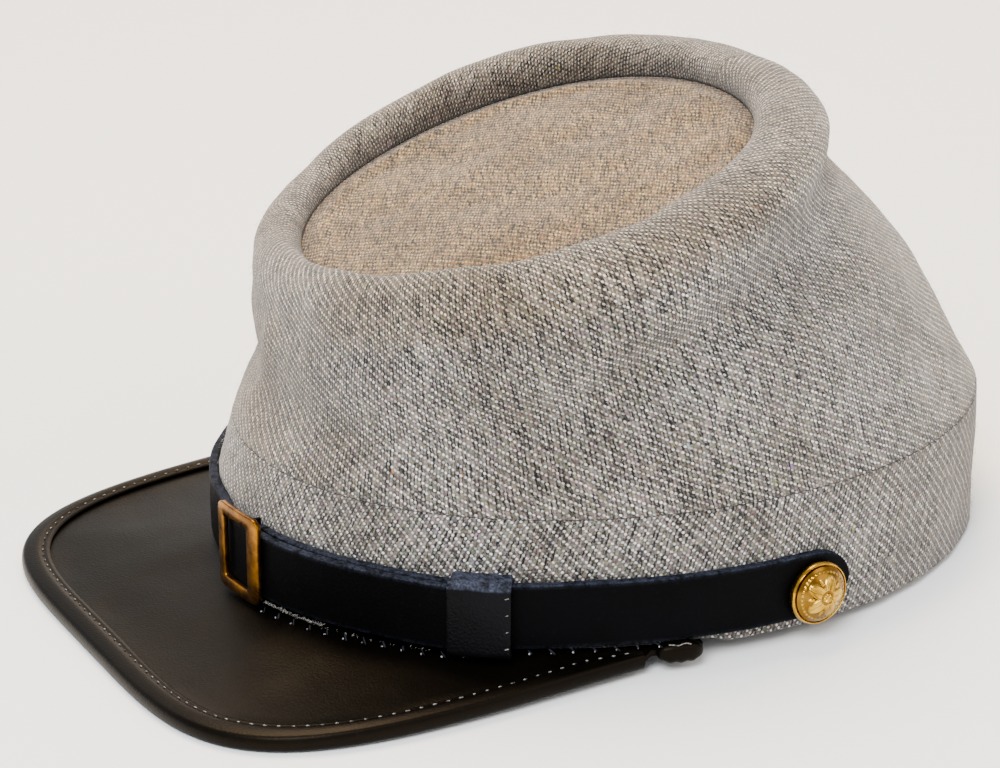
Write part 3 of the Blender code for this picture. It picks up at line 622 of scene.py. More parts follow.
def makeDisc():
    turns = np.linspace(-math.pi, math.pi, disc["columns"] + 1)[:-1]
    level = crown["discLevel"] - 0.0001
    centre = np.array((0, -crown["discForward"]))
    shares = np.linspace(0.01, 1, disc["rings"])
    rows = []
    for share in shares:
        plan = centre + (discEdge(turns) - centre) * share
        rows.append(join(plan, level + disc["dome"] * (1 - share * share)))
    rows.append(join(discEdge(turns, disc["tuck"]), level))
    flat = np.stack(rows, 1)
    lump = noiseOf(flat, 0.020, 11) * 0.0012 + noiseOf(flat, 0.007, 12) * 0.0004
    fade = np.concatenate((smooth((1 - shares) / 0.12), [0]))
    flat[..., 2] += (lump + 0.0012 * bell((np.concatenate((shares, [1])) - 0.93) / 0.05)) * fade
    grid = flat @ topFrame[:3, :3].T + topFrame[:3, 3]
    rowsCount = grid.shape[1]
    faces = gridFaces(disc["columns"], rowsCount, True)
    look = math.radians(view["azimuth"])
    across = np.array((math.cos(look), math.sin(look)))
    away = np.array((-math.sin(look), math.cos(look)))
    uv = np.stack((flat[..., :2] @ across, flat[..., :2] @ away), -1) * disc["finer"]
    uv = np.concatenate((uv, uv[:1]), 0)
    uvs = gridUvs(uv, True)
    points = grid.reshape(-1, 3).tolist()
    points.append((flat[:, 0].mean(0) @ topFrame[:3, :3].T + topFrame[:3, 3]).tolist())
    middle = len(points) - 1
    middleUv = uv[:-1, 0].mean(0)
    extra = []
    for a in range(disc["columns"]):
        after = (a + 1) % disc["columns"]
        faces.append((middle, after * rowsCount, a * rowsCount))
        extra += [middleUv, uv[a + 1, 0], uv[a, 0]]
    piece = addPiece("sunkTop", points, faces, np.concatenate((uvs, np.array(extra))), sharp=None)
    # painted shade darkens the crease at the disc's edge, and a tan tint of painted warm light lies over the whole top
    edgeShade = smooth((np.concatenate((shares, [1])) - 0.91) / 0.09) * 0.8
    mark(piece, "shade", np.append(np.tile(edgeShade, disc["columns"]), 0))
    mark(piece, "tanLightAndShade", np.full(len(points), 0.35))
    straighten(piece, None)
    if piece.data.polygons[0].normal.z < 0:
        piece.data.flip_normals()
    solid = piece.modifiers.new("wall", "SOLIDIFY")
    solid.thickness = disc["cloth"]
    solid.offset = -1
    # the top's tan colours and cast are painted warm light on the upward-facing top
    piece.data.materials.append(tweedMaterial("topTweedWarmLit", {
        "pale": (208, 194, 172), "dark": (20, 15, 8), "middle": (134, 112, 86), "streak": (150, 130, 104),
        "knot": (0.40, 0.62), "float": (0.28, 0.6), "relief": 0.7, "jitter": 0.24, "wander": 2.4,
        "cast": (0.91, 0.825, 0.635), "blotch": (0.42, 1.38), "nap": 0.35, "tint": 0.5}))
    freeze(piece)
    return piece, grid[:, 1:-2]


sunkTop, topOutside = makeDisc()
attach(sunkTop, "root")
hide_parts("crown_top")
print("top made")

band = {"columns": 340, "rows": 30, "edge": 0.0004, "tabAngle": 76.6, "seat": 0.0012, "strapShadowTop": 0.0040, "cutPast": 1.0}


# the band is cut short where the peak passes under it
def bandBottom(angle):
    turned = np.abs((np.degrees(angle) + 180) % 360 - 180)
    return (band["seat"] + gap) * (1 - smooth((turned - band["tabAngle"] - band["cutPast"]) / 4))


def makeBand():
    turns = np.linspace(-math.pi, math.pi, band["columns"] + 1)
    angle = turns[:-1]
    low, high = bandBottom(angle), bandTop(angle)
    edge, wall = band["edge"], bandSize["wall"]
    profile = []
    for turn in np.linspace(-half, 0, 5):
        profile.append((low + edge * (1 + math.sin(turn)), -edge * (1 - math.cos(turn))))
    for share in np.linspace(0, 1, band["rows"])[1:-1]:
        profile.append((low + edge + (high - low - 2 * edge) * share, 0.0))
    for turn in np.linspace(0, math.pi, 8):
        side = -edge if turn < half else edge - wall
        profile.append((high - edge + edge * math.sin(turn), side + edge * math.cos(turn)))
    for share in (0.66, 0.33):
        profile.append((low + edge + (high - low - 2 * edge) * share, -wall))
    for turn in np.linspace(math.pi, 1.5 * math.pi, 5)[:-1]:
        profile.append((low + edge * (1 + math.sin(turn)), -wall + edge * (1 + math.cos(turn))))
    grid = np.stack([bandFace(angle, h, o) for h, o in profile], 1)
    uneven = noiseOf(grid, 0.012, 21) * 0.0005 + noiseOf(grid, 0.004, 22) * 0.00018
    facing = join(outward(angle), 0.0)
    outer = np.zeros(len(profile))
    outer[3:5 + band["rows"]] = 1
    grid += facing[:, None] * (uneven * outer[None])[..., None]
    length = np.concatenate(([0], np.cumsum(np.linalg.norm(np.diff(grid, axis=1), axis=-1).mean(0))))
    spinned = math.radians(-15)
    u, v = np.meshgrid(arcAt(turns), length, indexing="ij")
    uv = np.stack((u * math.cos(spinned) + v * math.sin(spinned),
                   -u * math.sin(spinned) + v * math.cos(spinned)), -1)
    count, rows = grid.shape[:2]
    faces, uvs = gridFaces(count, rows, True), gridUvs(uv, True).tolist()
    for a in range(count):  # closes the wall inside
        here, there = a * rows, (a + 1) % count * rows
        faces.append((here + rows - 1, there + rows - 1, there, here))
        uvs += [uv[a, -1], uv[a + 1, -1], uv[a + 1, -1] + 1e-4, uv[a, -1] + 1e-4]
    piece = addPiece("bandCloth", grid, faces, uvs, sharp=None)
    around = np.degrees(angle)[:, None]
    # painted light and shade: a tan tint and darkening on the band's rear and front-left
    rear = smooth((around - 94) / 44) * np.ones(rows)
    mark(piece, "tanLightAndShade", 0.5 * rear + 0.5 * bell((around + 14) / 26))
    mark(piece, "shade", 0.42 * rear + 0.2 * bell((around + 14) / 26))
    # a painted near-black shadow on the band's low rows under the strap, where the peak runs under it
    underStrap = smooth((band["strapShadowTop"] - grid[..., 2]) / 0.0008)
    mark(piece, "strapShadow", underStrap * smooth((band["tabAngle"] + 1 - np.abs(around)) / 3))
    piece.data.materials.append(tweedMaterial("bandTweed", {}))
    return piece, grid[:, 5:4 + band["rows"]]


bandCloth, bandOutside = makeBand()
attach(bandCloth, "root")
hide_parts("band")
print("band made")


# leather
# smooth black leather with fine grain and faint creases, and painted bluish light on its marked edges
def leatherMaterial(name, want):
    material, tree, shader = newMaterial(name, {
        "Roughness": want["gloss"], "Coat Weight": want["coat"], "Coat Roughness": 0.30,
        "Specular IOR Level": want["shine"], "Specular Tint": (*want["tint"], 1)})
    place = put(tree, "ShaderNodeTexCoord").outputs["Object"]
    clouds = cloudy(tree, place, 38, 4, 0.6)
    colour = mixed(tree, spread(tree, clouds, 0.3, 0.7), colourOf(*want["deep"]), colourOf(*want["light"]))
    grain = put(tree, "ShaderNodeTexVoronoi", {"Vector": place, "Scale": 1500.0}).outputs["Distance"]
    fine = cloudy(tree, place, 2600, 3, 0.6)
    pores = spread(tree, cloudy(tree, place, 900, 2, 0.5), 0.62, 0.75)
    colour = mixed(tree, calc(tree, "MULTIPLY", pores, 0.5), colour, colourOf(*want["speck"]))
    # painted bluish light on the marked edges, broken into patches and specks; it also makes them rougher
    litEdge = put(tree, "ShaderNodeAttribute", attribute_name="litEdge").outputs["Fac"]
    litEdgeShare = calc(tree, "MULTIPLY", litEdge, spread(tree, cloudy(tree, place, 420, 3, 0.7), 0.30, 0.62))
    litEdgeShare = calc(tree, "MULTIPLY", litEdgeShare, spread(tree, cloudy(tree, place, 1900, 2, 0.6), 0.36, 0.62, 0.35, 1.0))
    colour = mixed(tree, litEdgeShare, colour, colourOf(*want["edge"]))
    tree.links.new(colour, shader.inputs["Base Color"])
    rough = calc(tree, "MULTIPLY_ADD", clouds, 0.22, want["gloss"] - 0.10)
    rough = calc(tree, "ADD", rough, calc(tree, "MULTIPLY", litEdgeShare, 0.25))
    tree.links.new(rough, shader.inputs["Roughness"])
    height = calc(tree, "ADD", calc(tree, "MULTIPLY", grain, 0.5), calc(tree, "MULTIPLY", fine, 0.4))
    height = calc(tree, "ADD", height, calc(tree, "MULTIPLY", clouds, 2.0))
    addBump(tree, shader, height, want["grain"], 0.0002)
    return material


peak = {
    "leather": 0.0015, "projection": 0.0408, "narrowing": 0.0020, "middleForward": 0.0234,
    "square": 4.4, "slope": 3.4, "seat": 0.0012, "endAngle": 66.5, "endTurn": 82.0, "sag": 0.0010,
    "flange": 0.0080, "tabAngle": 76.6, "tabWidth": 0.0024, "binding": 0.0010, "bindingWidth": 0.0074,
    "columns": 150, "rows": 26,
}
peakLook = {"deep": (1, 1, 1), "light": (4, 3, 2), "speck": (9, 8, 7), "edge": (38, 35, 34),
            "gloss": 0.37, "coat": 0.0, "grain": 0.30, "shine": 0.075, "tint": (1.0, 0.78, 0.56)}
peakLeather = leatherMaterial("peakHide", peakLook)


def peakColumn(share):
    inner = bandFace(np.radians(peak["endAngle"] * share), np.full_like(share, peak["seat"]))
    reach = head["length"] / 2 + peak["projection"] - peak["middleForward"]
    plan = superOval(np.radians(peak["endTurn"] * share), reach, head["width"] / 2 - peak["narrowing"],
                     peak["square"])
    plan[..., 1] -= peak["middleForward"]
    level = (plan[..., 1] + peak["middleForward"]) * math.sin(math.radians(peak["slope"]))
    outer = join(plan, level + peak["leather"] / 2)
    return inner, outer, np.linalg.norm((outer - inner)[..., :2], axis=-1)


def onPeak(share, inset, rise=0.0):
    share = np.asarray(share, dtype=float)
    inner, outer, length = peakColumn(share)
    along = 1 - inset / length
    point = inner + (outer - inner) * along[..., None]
    point[..., 2] += rise - peak["sag"] * np.sin(math.pi * np.maximum(0, along))
    return point


def bindingReach(share):
    return np.minimum(peak["bindingWidth"], 0.7 * peakColumn(share)[2])


def makePeak():
    share = np.linspace(-1, 1, peak["columns"] + 1)
    angle = np.radians(peak["endAngle"] * share)
    length = peakColumn(share)[2]
    free = length - bindingReach(share)
    inside = -bandSize["wall"] - gap
    upper = [bandFace(angle, np.full_like(angle, h), o) for h, o in
             ((peak["flange"], inside), (peak["seat"], inside), (peak["seat"], 0.0))]
    back = inside - peak["leather"]
    low = peak["seat"] - peak["leather"]
    lower = [bandFace(angle, np.full_like(angle, h), o) for h, o in
             ((peak["flange"], back), (low, back), (low, 0.0))]
    insets = [length - free * part for part in np.linspace(0, 1, peak["rows"])[1:]]
    insets.append(np.full_like(length, peak["binding"] + gap))
    for inset in insets:
        top = onPeak(share, inset)
        lump = noiseOf(top, 0.030, 31) * 0.0007 + noiseOf(top, 0.011, 32) * 0.00015
        fade = smooth((length - inset) / 0.006) * smooth((inset - bindingReach(share)) / 0.004)
        top[..., 2] += lump * fade
        upper.append(top)
        lower.append(onPeak(share, inset, -peak["leather"]))
    rings = np.stack(upper + lower[::-1], 1)
    tabs = []
    for turned, part in ((peak["tabAngle"], 0.45), (peak["tabAngle"] - 0.5, 0.85),
                         (peak["tabAngle"] - 1.2, 1.0), (peak["endAngle"] + 1.5, 1.0)):
        tabs.append((math.radians(turned), peak["tabWidth"] * part))
    count = len(insets)

    def tabRing(turned, width):
        steps = [(peak["flange"], inside), (peak["seat"], inside), (peak["seat"], 0.0)]
        steps += [(peak["seat"], width * (k + 1) / count) for k in range(count)]
        under = [(peak["flange"], back), (low, back), (low, 0.0)]
        under += [(low, width * (k + 1) / count) for k in range(count)]
        return [bandFace(np.array(turned), np.array(h), o) for h, o in steps + under[::-1]]

    right = [tabRing(-turned, width) for turned, width in tabs]
    left = [tabRing(turned, width) for turned, width in reversed(tabs)]
    piece = loft("peakPlate", np.concatenate((right, rings, left)))
    piece.data.materials.append(peakLeather)
    return piece


peakPlate = makePeak()
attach(peakPlate, "root")
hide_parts("peak")

binding = {"roll": 0.0008, "stitchInset": 0.0056, "groove": 0.0003}


def makeBinding():
    share = np.linspace(-1, 1, peak["columns"] + 1)
    reach = bindingReach(share)
    wall = peak["binding"]
    top, bottom = gap, -peak["leather"] - gap
    rings = []
    stitch = reach * binding["stitchInset"] / peak["bindingWidth"]
    profile = [(reach, top), (reach, top + wall * 0.55), (reach - 0.0004, top + wall * 0.85)]
    for part in np.linspace(0, 1, 14):
        inset = reach - 0.0008 + (0.0012 - reach + 0.0008) * part
        rise = top + wall + binding["roll"] * np.sin(math.pi * np.clip(part, 0, 1)) ** 0.8 * (part > 0.2)
        rise = top + wall + 0.0004 * math.sin(math.pi * part)
        rise = rise - binding["groove"] * bell((inset - stitch) / 0.0006)
        profile.append((inset, rise))
    nose = (top + wall - (bottom - wall)) / 2
    centre = (top + bottom) / 2
    for turn in np.linspace(half, -half, 9)[1:-1]:
        profile.append((np.full_like(reach, 0.0012 - 0.0012 * math.cos(turn)), centre + nose * math.sin(turn)))
    profile += [(np.full_like(reach, 0.0012), bottom - wall), (reach - wall, bottom - wall),
                (reach, bottom - wall * 0.6), (reach, bottom), (np.full_like(reach, 0.0014), bottom),
                (np.full_like(reach, 0.0014), top)]
    rings = np.stack([onPeak(share, inset, rise) for inset, rise in profile], 1)
    piece = loft("peakEdge", rings)
    piece.data.materials.append(peakLeather)
    return piece


peakEdge = makeBinding()
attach(peakEdge, "root")
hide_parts("peak_binding")

peakEnd = {"lumpFrom": 68.8, "lumpTo": 76.2, "lumpOut": 0.0023, "lumpHigh": 0.0025, "lumpLevel": 0.0004}


# the end of the peak beside the band, a puckered fold of leather
def makeFold(name, way):
    rings = []
    for share in np.linspace(-0.98, 0.98, 33):
        degree = peakEnd["lumpFrom"] + (peakEnd["lumpTo"] - peakEnd["lumpFrom"]) * (share + 1) / 2
        size = (1 - abs(share) ** 3.2) ** 0.5
        pucker = 1 + 0.07 * math.cos(share * 13)
        ring = []
        for turn in np.linspace(0, 2 * math.pi, 25)[:-1]:
            sag = pucker if math.sin(turn) < 0 else 1.0
            out = gap + peakEnd["lumpOut"] * (1 + size * np.sign(math.cos(turn)) * abs(math.cos(turn)) ** 0.7)
            height = peakEnd["lumpLevel"] + peakEnd["lumpHigh"] * size * sag * (
                np.sign(math.sin(turn)) * abs(math.sin(turn)) ** 0.7)
            ring.append(onBand(arcAt(math.radians(way * degree)), height, out))
        rings.append(ring)
    piece = loft(name, np.array(rings))
    piece.data.materials.append(peakLeather)
    return piece


for piece in (makeFold("peakEndLeft", 1), makeFold("peakEndRight", -1)):
    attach(piece, "root")
print("peak made")

strap = {
    "leather": 0.0025, "width": 0.0164, "bottom": 0.0032, "edge": 0.0007, "point": 0.0104,
    "ease": 0.0200, "step": 0.0018, "buttonAngle": 95.9,
}
keeper = {"leather": 0.0012, "width": 0.0140, "angle": 43.4}
buckle = {"width": 0.0176, "height": 0.0226, "bar": 0.0036, "metal": 0.0014, "corner": 0.0024,
          "angle": 4.6, "raise": 0.0011, "grip": 0.0004, "leftBar": 0.0030, "rightBar": 0.0044, "topBar": 0.0030}
buttonArc = float(arcAt(math.radians(strap["buttonAngle"])))
keeperArc = float(arcAt(math.radians(keeper["angle"])))
buckleArc = float(arcAt(math.radians(buckle["angle"])))
strapMiddle = strap["bottom"] + strap["width"] / 2
# the edge colours here are painted bluish light on the marked edges
strapLook = {"deep": (1, 1, 1), "light": (3, 3, 4), "speck": (7, 7, 10), "edge": (44, 48, 60),
             "gloss": 0.50, "coat": 0.0, "grain": 0.45, "shine": 0.03, "tint": (0.85, 0.90, 1.0)}
strapHide = leatherMaterial("strapHide", strapLook)


def shortStandoff(arc):
    past = (np.abs(arc - keeperArc) - keeper["width"] / 2) / strap["ease"]
    return gap + (keeper["leather"] + gap) * (1 - smooth(past))


def longStandoff(arc):
    onShort = shortStandoff(arc) + strap["leather"] + gap
    climb = smooth((arc - buckleArc + buckle["bar"] / 2 + strap["ease"]) / strap["ease"])
    return gap + (onShort - gap) * climb


def markLitEdge(piece, values):
    mark = piece.data.attributes.new("litEdge", "FLOAT", "POINT")
    mark.data.foreach_set("value", np.asarray(values, dtype=np.float32).ravel())


# a strap along the band, round at its button and cut square at its other end
def makeStrap(name, end, standoff, way):
    start = way * buttonArc
    radius = strap["width"] / 2
    stations = []
    for turn in np.linspace(math.radians(8), half, 12):
        stations.append((start + way * strap["point"] * math.cos(turn), radius * math.sin(turn)))
    length = abs(start - end)
    count = round(length / strap["step"])
    stations += [(start - way * length * k / count, radius) for k in range(1, count + 1)]
    arcs = np.array([s[0] for s in stations])
    halves = np.array([s[1] for s in stations])
    section = rolled(strap["width"], strap["leather"], strap["edge"], 5)
    inner = standoff(arcs)
    rings, marks = [], []
    for across, up in section:
        side = math.copysign(1, across)
        height = strapMiddle + side * np.maximum(halves - (strap["width"] / 2 - abs(across)), 0.0004)
        rings.append(onBand(arcs, height, inner + up))
        # painted bluish light on the strap's top and bottom edge faces, fainter where they round onto the front
        onEdge = smooth((abs(across) - strap["width"] / 2 + 0.0012) / 0.0008) * (0.25 + 0.75 * (up < 0.0023))
        marks.append(np.full_like(arcs, float(onEdge)))
    rings = np.stack(rings, 1)
    lump = noiseOf(rings, 0.012, 41) * 0.00022 + noiseOf(rings, 0.004, 42) * 0.00006
    rings += join(outward(angleAt(arcs)), 0.0)[:, None] * lump[..., None]
    piece = loft(name, rings, sharp=50)
    markLitEdge(piece, np.stack(marks, 1))
    piece.data.materials.append(strapHide)
    return piece


strapShort = makeStrap("strapShort", buckleArc + buckle["bar"] / 2 + 2 * gap, shortStandoff, 1)
strapLong = makeStrap("strapLong", keeperArc + keeper["width"] / 2 - 3 * gap, longStandoff, -1)
for piece, node in ((strapShort, "chin_strap_left"), (strapLong, "chin_strap_right")):
    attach(piece, "root")
    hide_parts(node)


# a leather loop round both straps
def makeKeeper():
    lap = float(longStandoff(keeperArc)) + strap["leather"] + gap
    low, high = strap["bottom"] - gap, strap["bottom"] + strap["width"] + gap
    bend, tight = 0.0010, 0.0003
    back = gap + keeper["leather"] + tight
    corners = ((high - bend, lap - bend, bend), (low + bend, lap - bend, bend),
               (low + tight, back, tight), (high - tight, back, tight))
    section = rolled(keeper["width"], keeper["leather"], 0.0004, 4)
    rings, marks = [], []
    for c, (height, out, radius) in enumerate(corners):
        for turn in np.linspace(half * c, half * (c + 1), 8):
            reach = radius + section[:, 1]
            rings.append(onBand(keeperArc + section[:, 0], height + reach * math.cos(turn),
                                out + reach * math.sin(turn)))
            # painted highlight along the keeper's top bends
            marks.append(np.full(len(section), float(math.cos(turn) > 0.25)) * 0.9)
    rings = np.array(rings)
    rings += (noiseOf(rings, 0.005, 51) * 0.00012)[..., None]
    piece = loft("keeperLoop", rings, closed=True, sharp=50)
    markLitEdge(piece, marks)
    piece.data.materials.append(leatherMaterial("keeperHide", {**strapLook, "light": (6, 6, 8), "edge": (62, 67, 84),
                                                               "gloss": 0.42, "grain": 0.9, "shine": 0.08}))
    return piece


keeperLoop = makeKeeper()
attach(keeperLoop, "root")
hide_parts("strap_keeper")
print("straps made")


# brass
# lacquered brass, a little uneven and tarnished in its hollows
def brassMaterial(name, want):
    material, tree, shader = newMaterial(name, {"Metallic": 1.0, "Roughness": want["gloss"]})
    place = put(tree, "ShaderNodeTexCoord").outputs["Object"]
    clouds = cloudy(tree, place, 220, 4, 0.6)
    colour = mixed(tree, spread(tree, clouds, 0.35, 0.65), colourOf(*want["deep"]), colourOf(*want["light"]))
    hollow = put(tree, "ShaderNodeAttribute", attribute_name="hollow").outputs["Fac"]
    colour = mixed(tree, hollow, colour, colourOf(*want["hollow"]))
    tree.links.new(colour, shader.inputs["Base Color"])
    rough = calc(tree, "MULTIPLY_ADD", clouds, 0.25, want["gloss"] - 0.12)
    tree.links.new(rough, shader.inputs["Roughness"])
    fine = cloudy(tree, place, 1400, 3, 0.6)
    addBump(tree, shader, fine, 0.25, 0.00008)
    return material


buckleBrass = brassMaterial("buckleBrass", {"deep": (98, 62, 12), "light": (152, 102, 27),
                                            "hollow": (90, 60, 20), "gloss": 0.30})
buttonBrass = brassMaterial("buttonBrass", {"deep": (152, 112, 28), "light": (208, 166, 62),
                                            "hollow": (96, 62, 18), "gloss": 0.20})


# corner arcs of a rectangle with points between, as offsets along and across the strap
def roundedFrame(right, left, top, radius, steps):
    corners = ((right - radius, top - radius), (radius - left, top - radius),
               (radius - left, radius - top), (right - radius, radius - top))
    points = []
    for c, (x, y) in enumerate(corners):
        for turn in np.linspace(half * c, half * (c + 1), steps):
            points.append((x + radius * math.cos(turn), y + radius * math.sin(turn)))
        nextX, nextY = corners[(c + 1) % 4]
        turn = half * (c + 1)
        here = (x + radius * math.cos(turn), y + radius * math.sin(turn))
        there = (nextX + radius * math.cos(turn), nextY + radius * math.sin(turn))
        for k in (0.2, 0.4, 0.6, 0.8):
            points.append((here[0] + (there[0] - here[0]) * k, here[1] + (there[1] - here[1]) * k))
    return np.array(points)


# a flat brass frame, bent to the strap, with softened edges
def makeBuckle():
    front = float(longStandoff(buckleArc + buckle["width"] / 2)) + strap["leather"] + gap
    wide, tall, metal = buckle["width"] / 2, buckle["height"] / 2, buckle["metal"]
    outer = roundedFrame(wide, wide, tall, buckle["corner"], 9)
    inner = roundedFrame(wide - buckle["rightBar"], wide - buckle["leftBar"], tall - buckle["topBar"],
                         0.0008, 9)
    across = inner - outer
    bar = np.linalg.norm(across, axis=1, keepdims=True)
    across /= bar
    soft = 0.00025
    rings = []
    for share, inset, level in ((0, 0, 0.0002), (0, 0, metal - soft), (0, soft * 0.3, metal - soft * 0.3),
                                (0, soft, metal), (1, -soft, metal), (1, -soft * 0.3, metal - soft * 0.3),
                                (1, 0, metal - soft), (1, 0, 0.0002), (1, -0.0002, 0.0), (0, 0.0002, 0.0)):
        flat = outer + across * (bar * share + inset)
        rings.append(onBand(buckleArc + flat[:, 0], strapMiddle + buckle["raise"] + flat[:, 1],
                            front + level))
    piece = loft("buckleFrame", np.stack(rings, 1), closed=True, sharp=50)
    piece.data.materials.append(buckleBrass)
    return piece, front


buckleFrame, buckleFront = makeBuckle()


# the plain bar behind the straps, whose two ends come forward to the frame
def makeBar():
    metal, wide = buckle["metal"], buckle["bar"] / 8
    under, over = strap["bottom"] - gap, strap["bottom"] + strap["width"] + gap
    low, high = under - buckle["grip"], over + buckle["grip"]
    bite = buckleFront + 0.0001
    profile = ((low, gap), (high, gap), (high, bite), (over, bite), (over, gap + metal),
               (under, gap + metal), (under, bite), (low, bite))
    arcs = buckleArc + np.linspace(-wide, wide, 5)
    rings = np.stack([onBand(arcs, height, out) for height, out in profile], 1)
    piece = loft("buckleBar", rings)
    piece.data.materials.append(strapHide)
    return piece


buckleBar = makeBar()
for piece, slot in ((buckleFrame, "brass"), (buckleBar, "strap_leather")):
    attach(piece, "root")
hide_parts("buckle")

button = {"drop": 0.0016, "diameter": 0.0160, "dome": 0.0040, "rim": 0.0009, "relief": 0.00042,
          "petals": 5, "shank": 0.0024, "sides": 180, "rings": 60}


# relief of a plain five-petalled rosette, 0 to 1
def rosette(share, turn):
    petals = button["petals"]
    lobe = np.cos(petals * turn / 2) ** 2
    reach = 0.34 + 0.36 * lobe ** 0.6
    outer = smooth((reach - share) / 0.05) * smooth((share - 0.20) / 0.05)
    rib = 1 - 0.55 * bell(np.sin(petals * turn / 2) / 0.16) * (share > 0.24)
    cup = 0.70 + 0.30 * bell((share - reach + 0.09) / 0.06)
    leaf = np.sin(petals * turn / 2) ** 2
    between = smooth((0.24 + 0.40 * leaf ** 6 - share) / 0.04) * smooth((share - 0.40) / 0.05) * 0.6
    seed = smooth((0.17 - share) / 0.04) * (0.8 + 0.3 * np.cos(8 * turn) * (share > 0.05))
    beads = bell((share - 0.765) / 0.022) * (0.45 + 0.45 * np.cos(36 * turn))
    return np.maximum(np.maximum(outer * rib * cup, between), np.maximum(seed, beads))


def makeButton(name, way, standoff):
    arc = way * buttonArc
    angle = angleAt(arc)
    seat = float(standoff(arc)) + strap["leather"] + gap
    facing = Vector((*outward(angle), 0.0))
    across = Vector((-facing.y, facing.x, 0.0))
    place = Vector(onBand(arc, strapMiddle - button["drop"], seat))
    radius, rim, dome = button["diameter"] / 2, button["rim"], button["dome"]
    share = np.linspace(0, 0.88, button["rings"])
    turn = np.linspace(0, 2 * math.pi, button["sides"] + 1)[:-1]
    rows = []
    for s in share:
        level = rim + dome * (1 - s * s) ** 0.8
        rows.append((s, level, 1.0))
    for s, level in ((0.885, rim * 1.45), (0.90, rim * 1.35), (0.915, rim * 1.7), (0.935, rim * 2.1),
                     (0.96, rim * 2.15), (0.985, rim * 1.8), (1.0, rim * 1.1), (0.995, rim * 0.5),
                     (0.975, 0.0), (0.6, 0.0), (button["shank"] / 2 / radius, 0.0)):
        rows.append((s, level, 0.0))
    rows.append((button["shank"] / 2 / radius, -(seat + bandSize["wall"]), 0.0))
    points, marks = [], []
    for s, level, carved in rows:
        relief = rosette(np.full_like(turn, s), turn) * carved * smooth((0.86 - s) / 0.04)
        for t, r in zip(turn, relief):
            flat = across * math.cos(t) + Vector((0, 0, math.sin(t)))
            points.append(place + flat * (radius * s) + facing * (level + button["relief"] * r))
        deep = carved * (1 - smooth(relief / 0.5)) * smooth((0.92 - s) / 0.05)
        marks.append(deep * 0.8)
    sides = button["sides"]
    faces = []
    for row in range(len(rows) - 1):
        here, there = row * sides, (row + 1) * sides
        for side in range(sides):
            after = (side + 1) % sides
            faces.append((here + side, there + side, there + after, here + after))
    last = (len(rows) - 1) * sides
    faces.append(tuple(last + side for side in range(sides)))
    piece = addPiece(name, [tuple(p) for p in points], faces, sharp=None)
    markLitEdge(piece, np.zeros(len(points)))
    mark = piece.data.attributes.new("hollow", "FLOAT", "POINT")
    mark.data.foreach_set("value", np.array(marks, dtype=np.float32).ravel())
    bm = bmesh.new()
    bm.from_mesh(piece.data)
    bmesh.ops.remove_doubles(bm, verts=bm.verts, dist=1e-7)
    bm.to_mesh(piece.data)
    bm.free()
    straighten(piece, 40)
    piece.data.materials.append(buttonBrass)
    return piece


buttonLeft = makeButton("buttonLeft", 1, shortStandoff)
buttonRight = makeButton("buttonRight", -1, longStandoff)
for piece, node in ((buttonLeft, "button_left"), (buttonRight, "button_right")):
    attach(piece, "root")
    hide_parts(node)
print("brass made")


# stitches and loose fibres
# an empty Geometry Nodes tree with named inputs
def groupWith(name, sizes):
    tree = bpy.data.node_groups.new(name, "GeometryNodeTree")
    tree.interface.new_socket("Geometry", in_out="INPUT", socket_type="NodeSocketGeometry")
    for label, kind, value in sizes:
        socket = tree.interface.new_socket(label, in_out="INPUT", socket_type=kind)
        if value is not None:
            socket.default_value = value
    tree.interface.new_socket("Geometry", in_out="OUTPUT", socket_type="NodeSocketGeometry")
    return tree, put(tree, "NodeGroupInput"), put(tree, "NodeGroupOutput")


def finishTree(tree, given, result, instances):
    real = put(tree, "GeometryNodeRealizeInstances", {"Geometry": instances})
    smoothed = put(tree, "GeometryNodeSetShadeSmooth", {"Geometry": real.outputs[0]})
    painted = put(tree, "GeometryNodeSetMaterial",
                  {"Geometry": smoothed.outputs[0], "Material": given.outputs["Material"]})
    tree.links.new(painted.outputs[0], result.inputs[0])


def namedVector(tree, name):
    return put(tree, "GeometryNodeInputNamedAttribute", {"Name": name}, data_type="FLOAT_VECTOR").outputs[0]


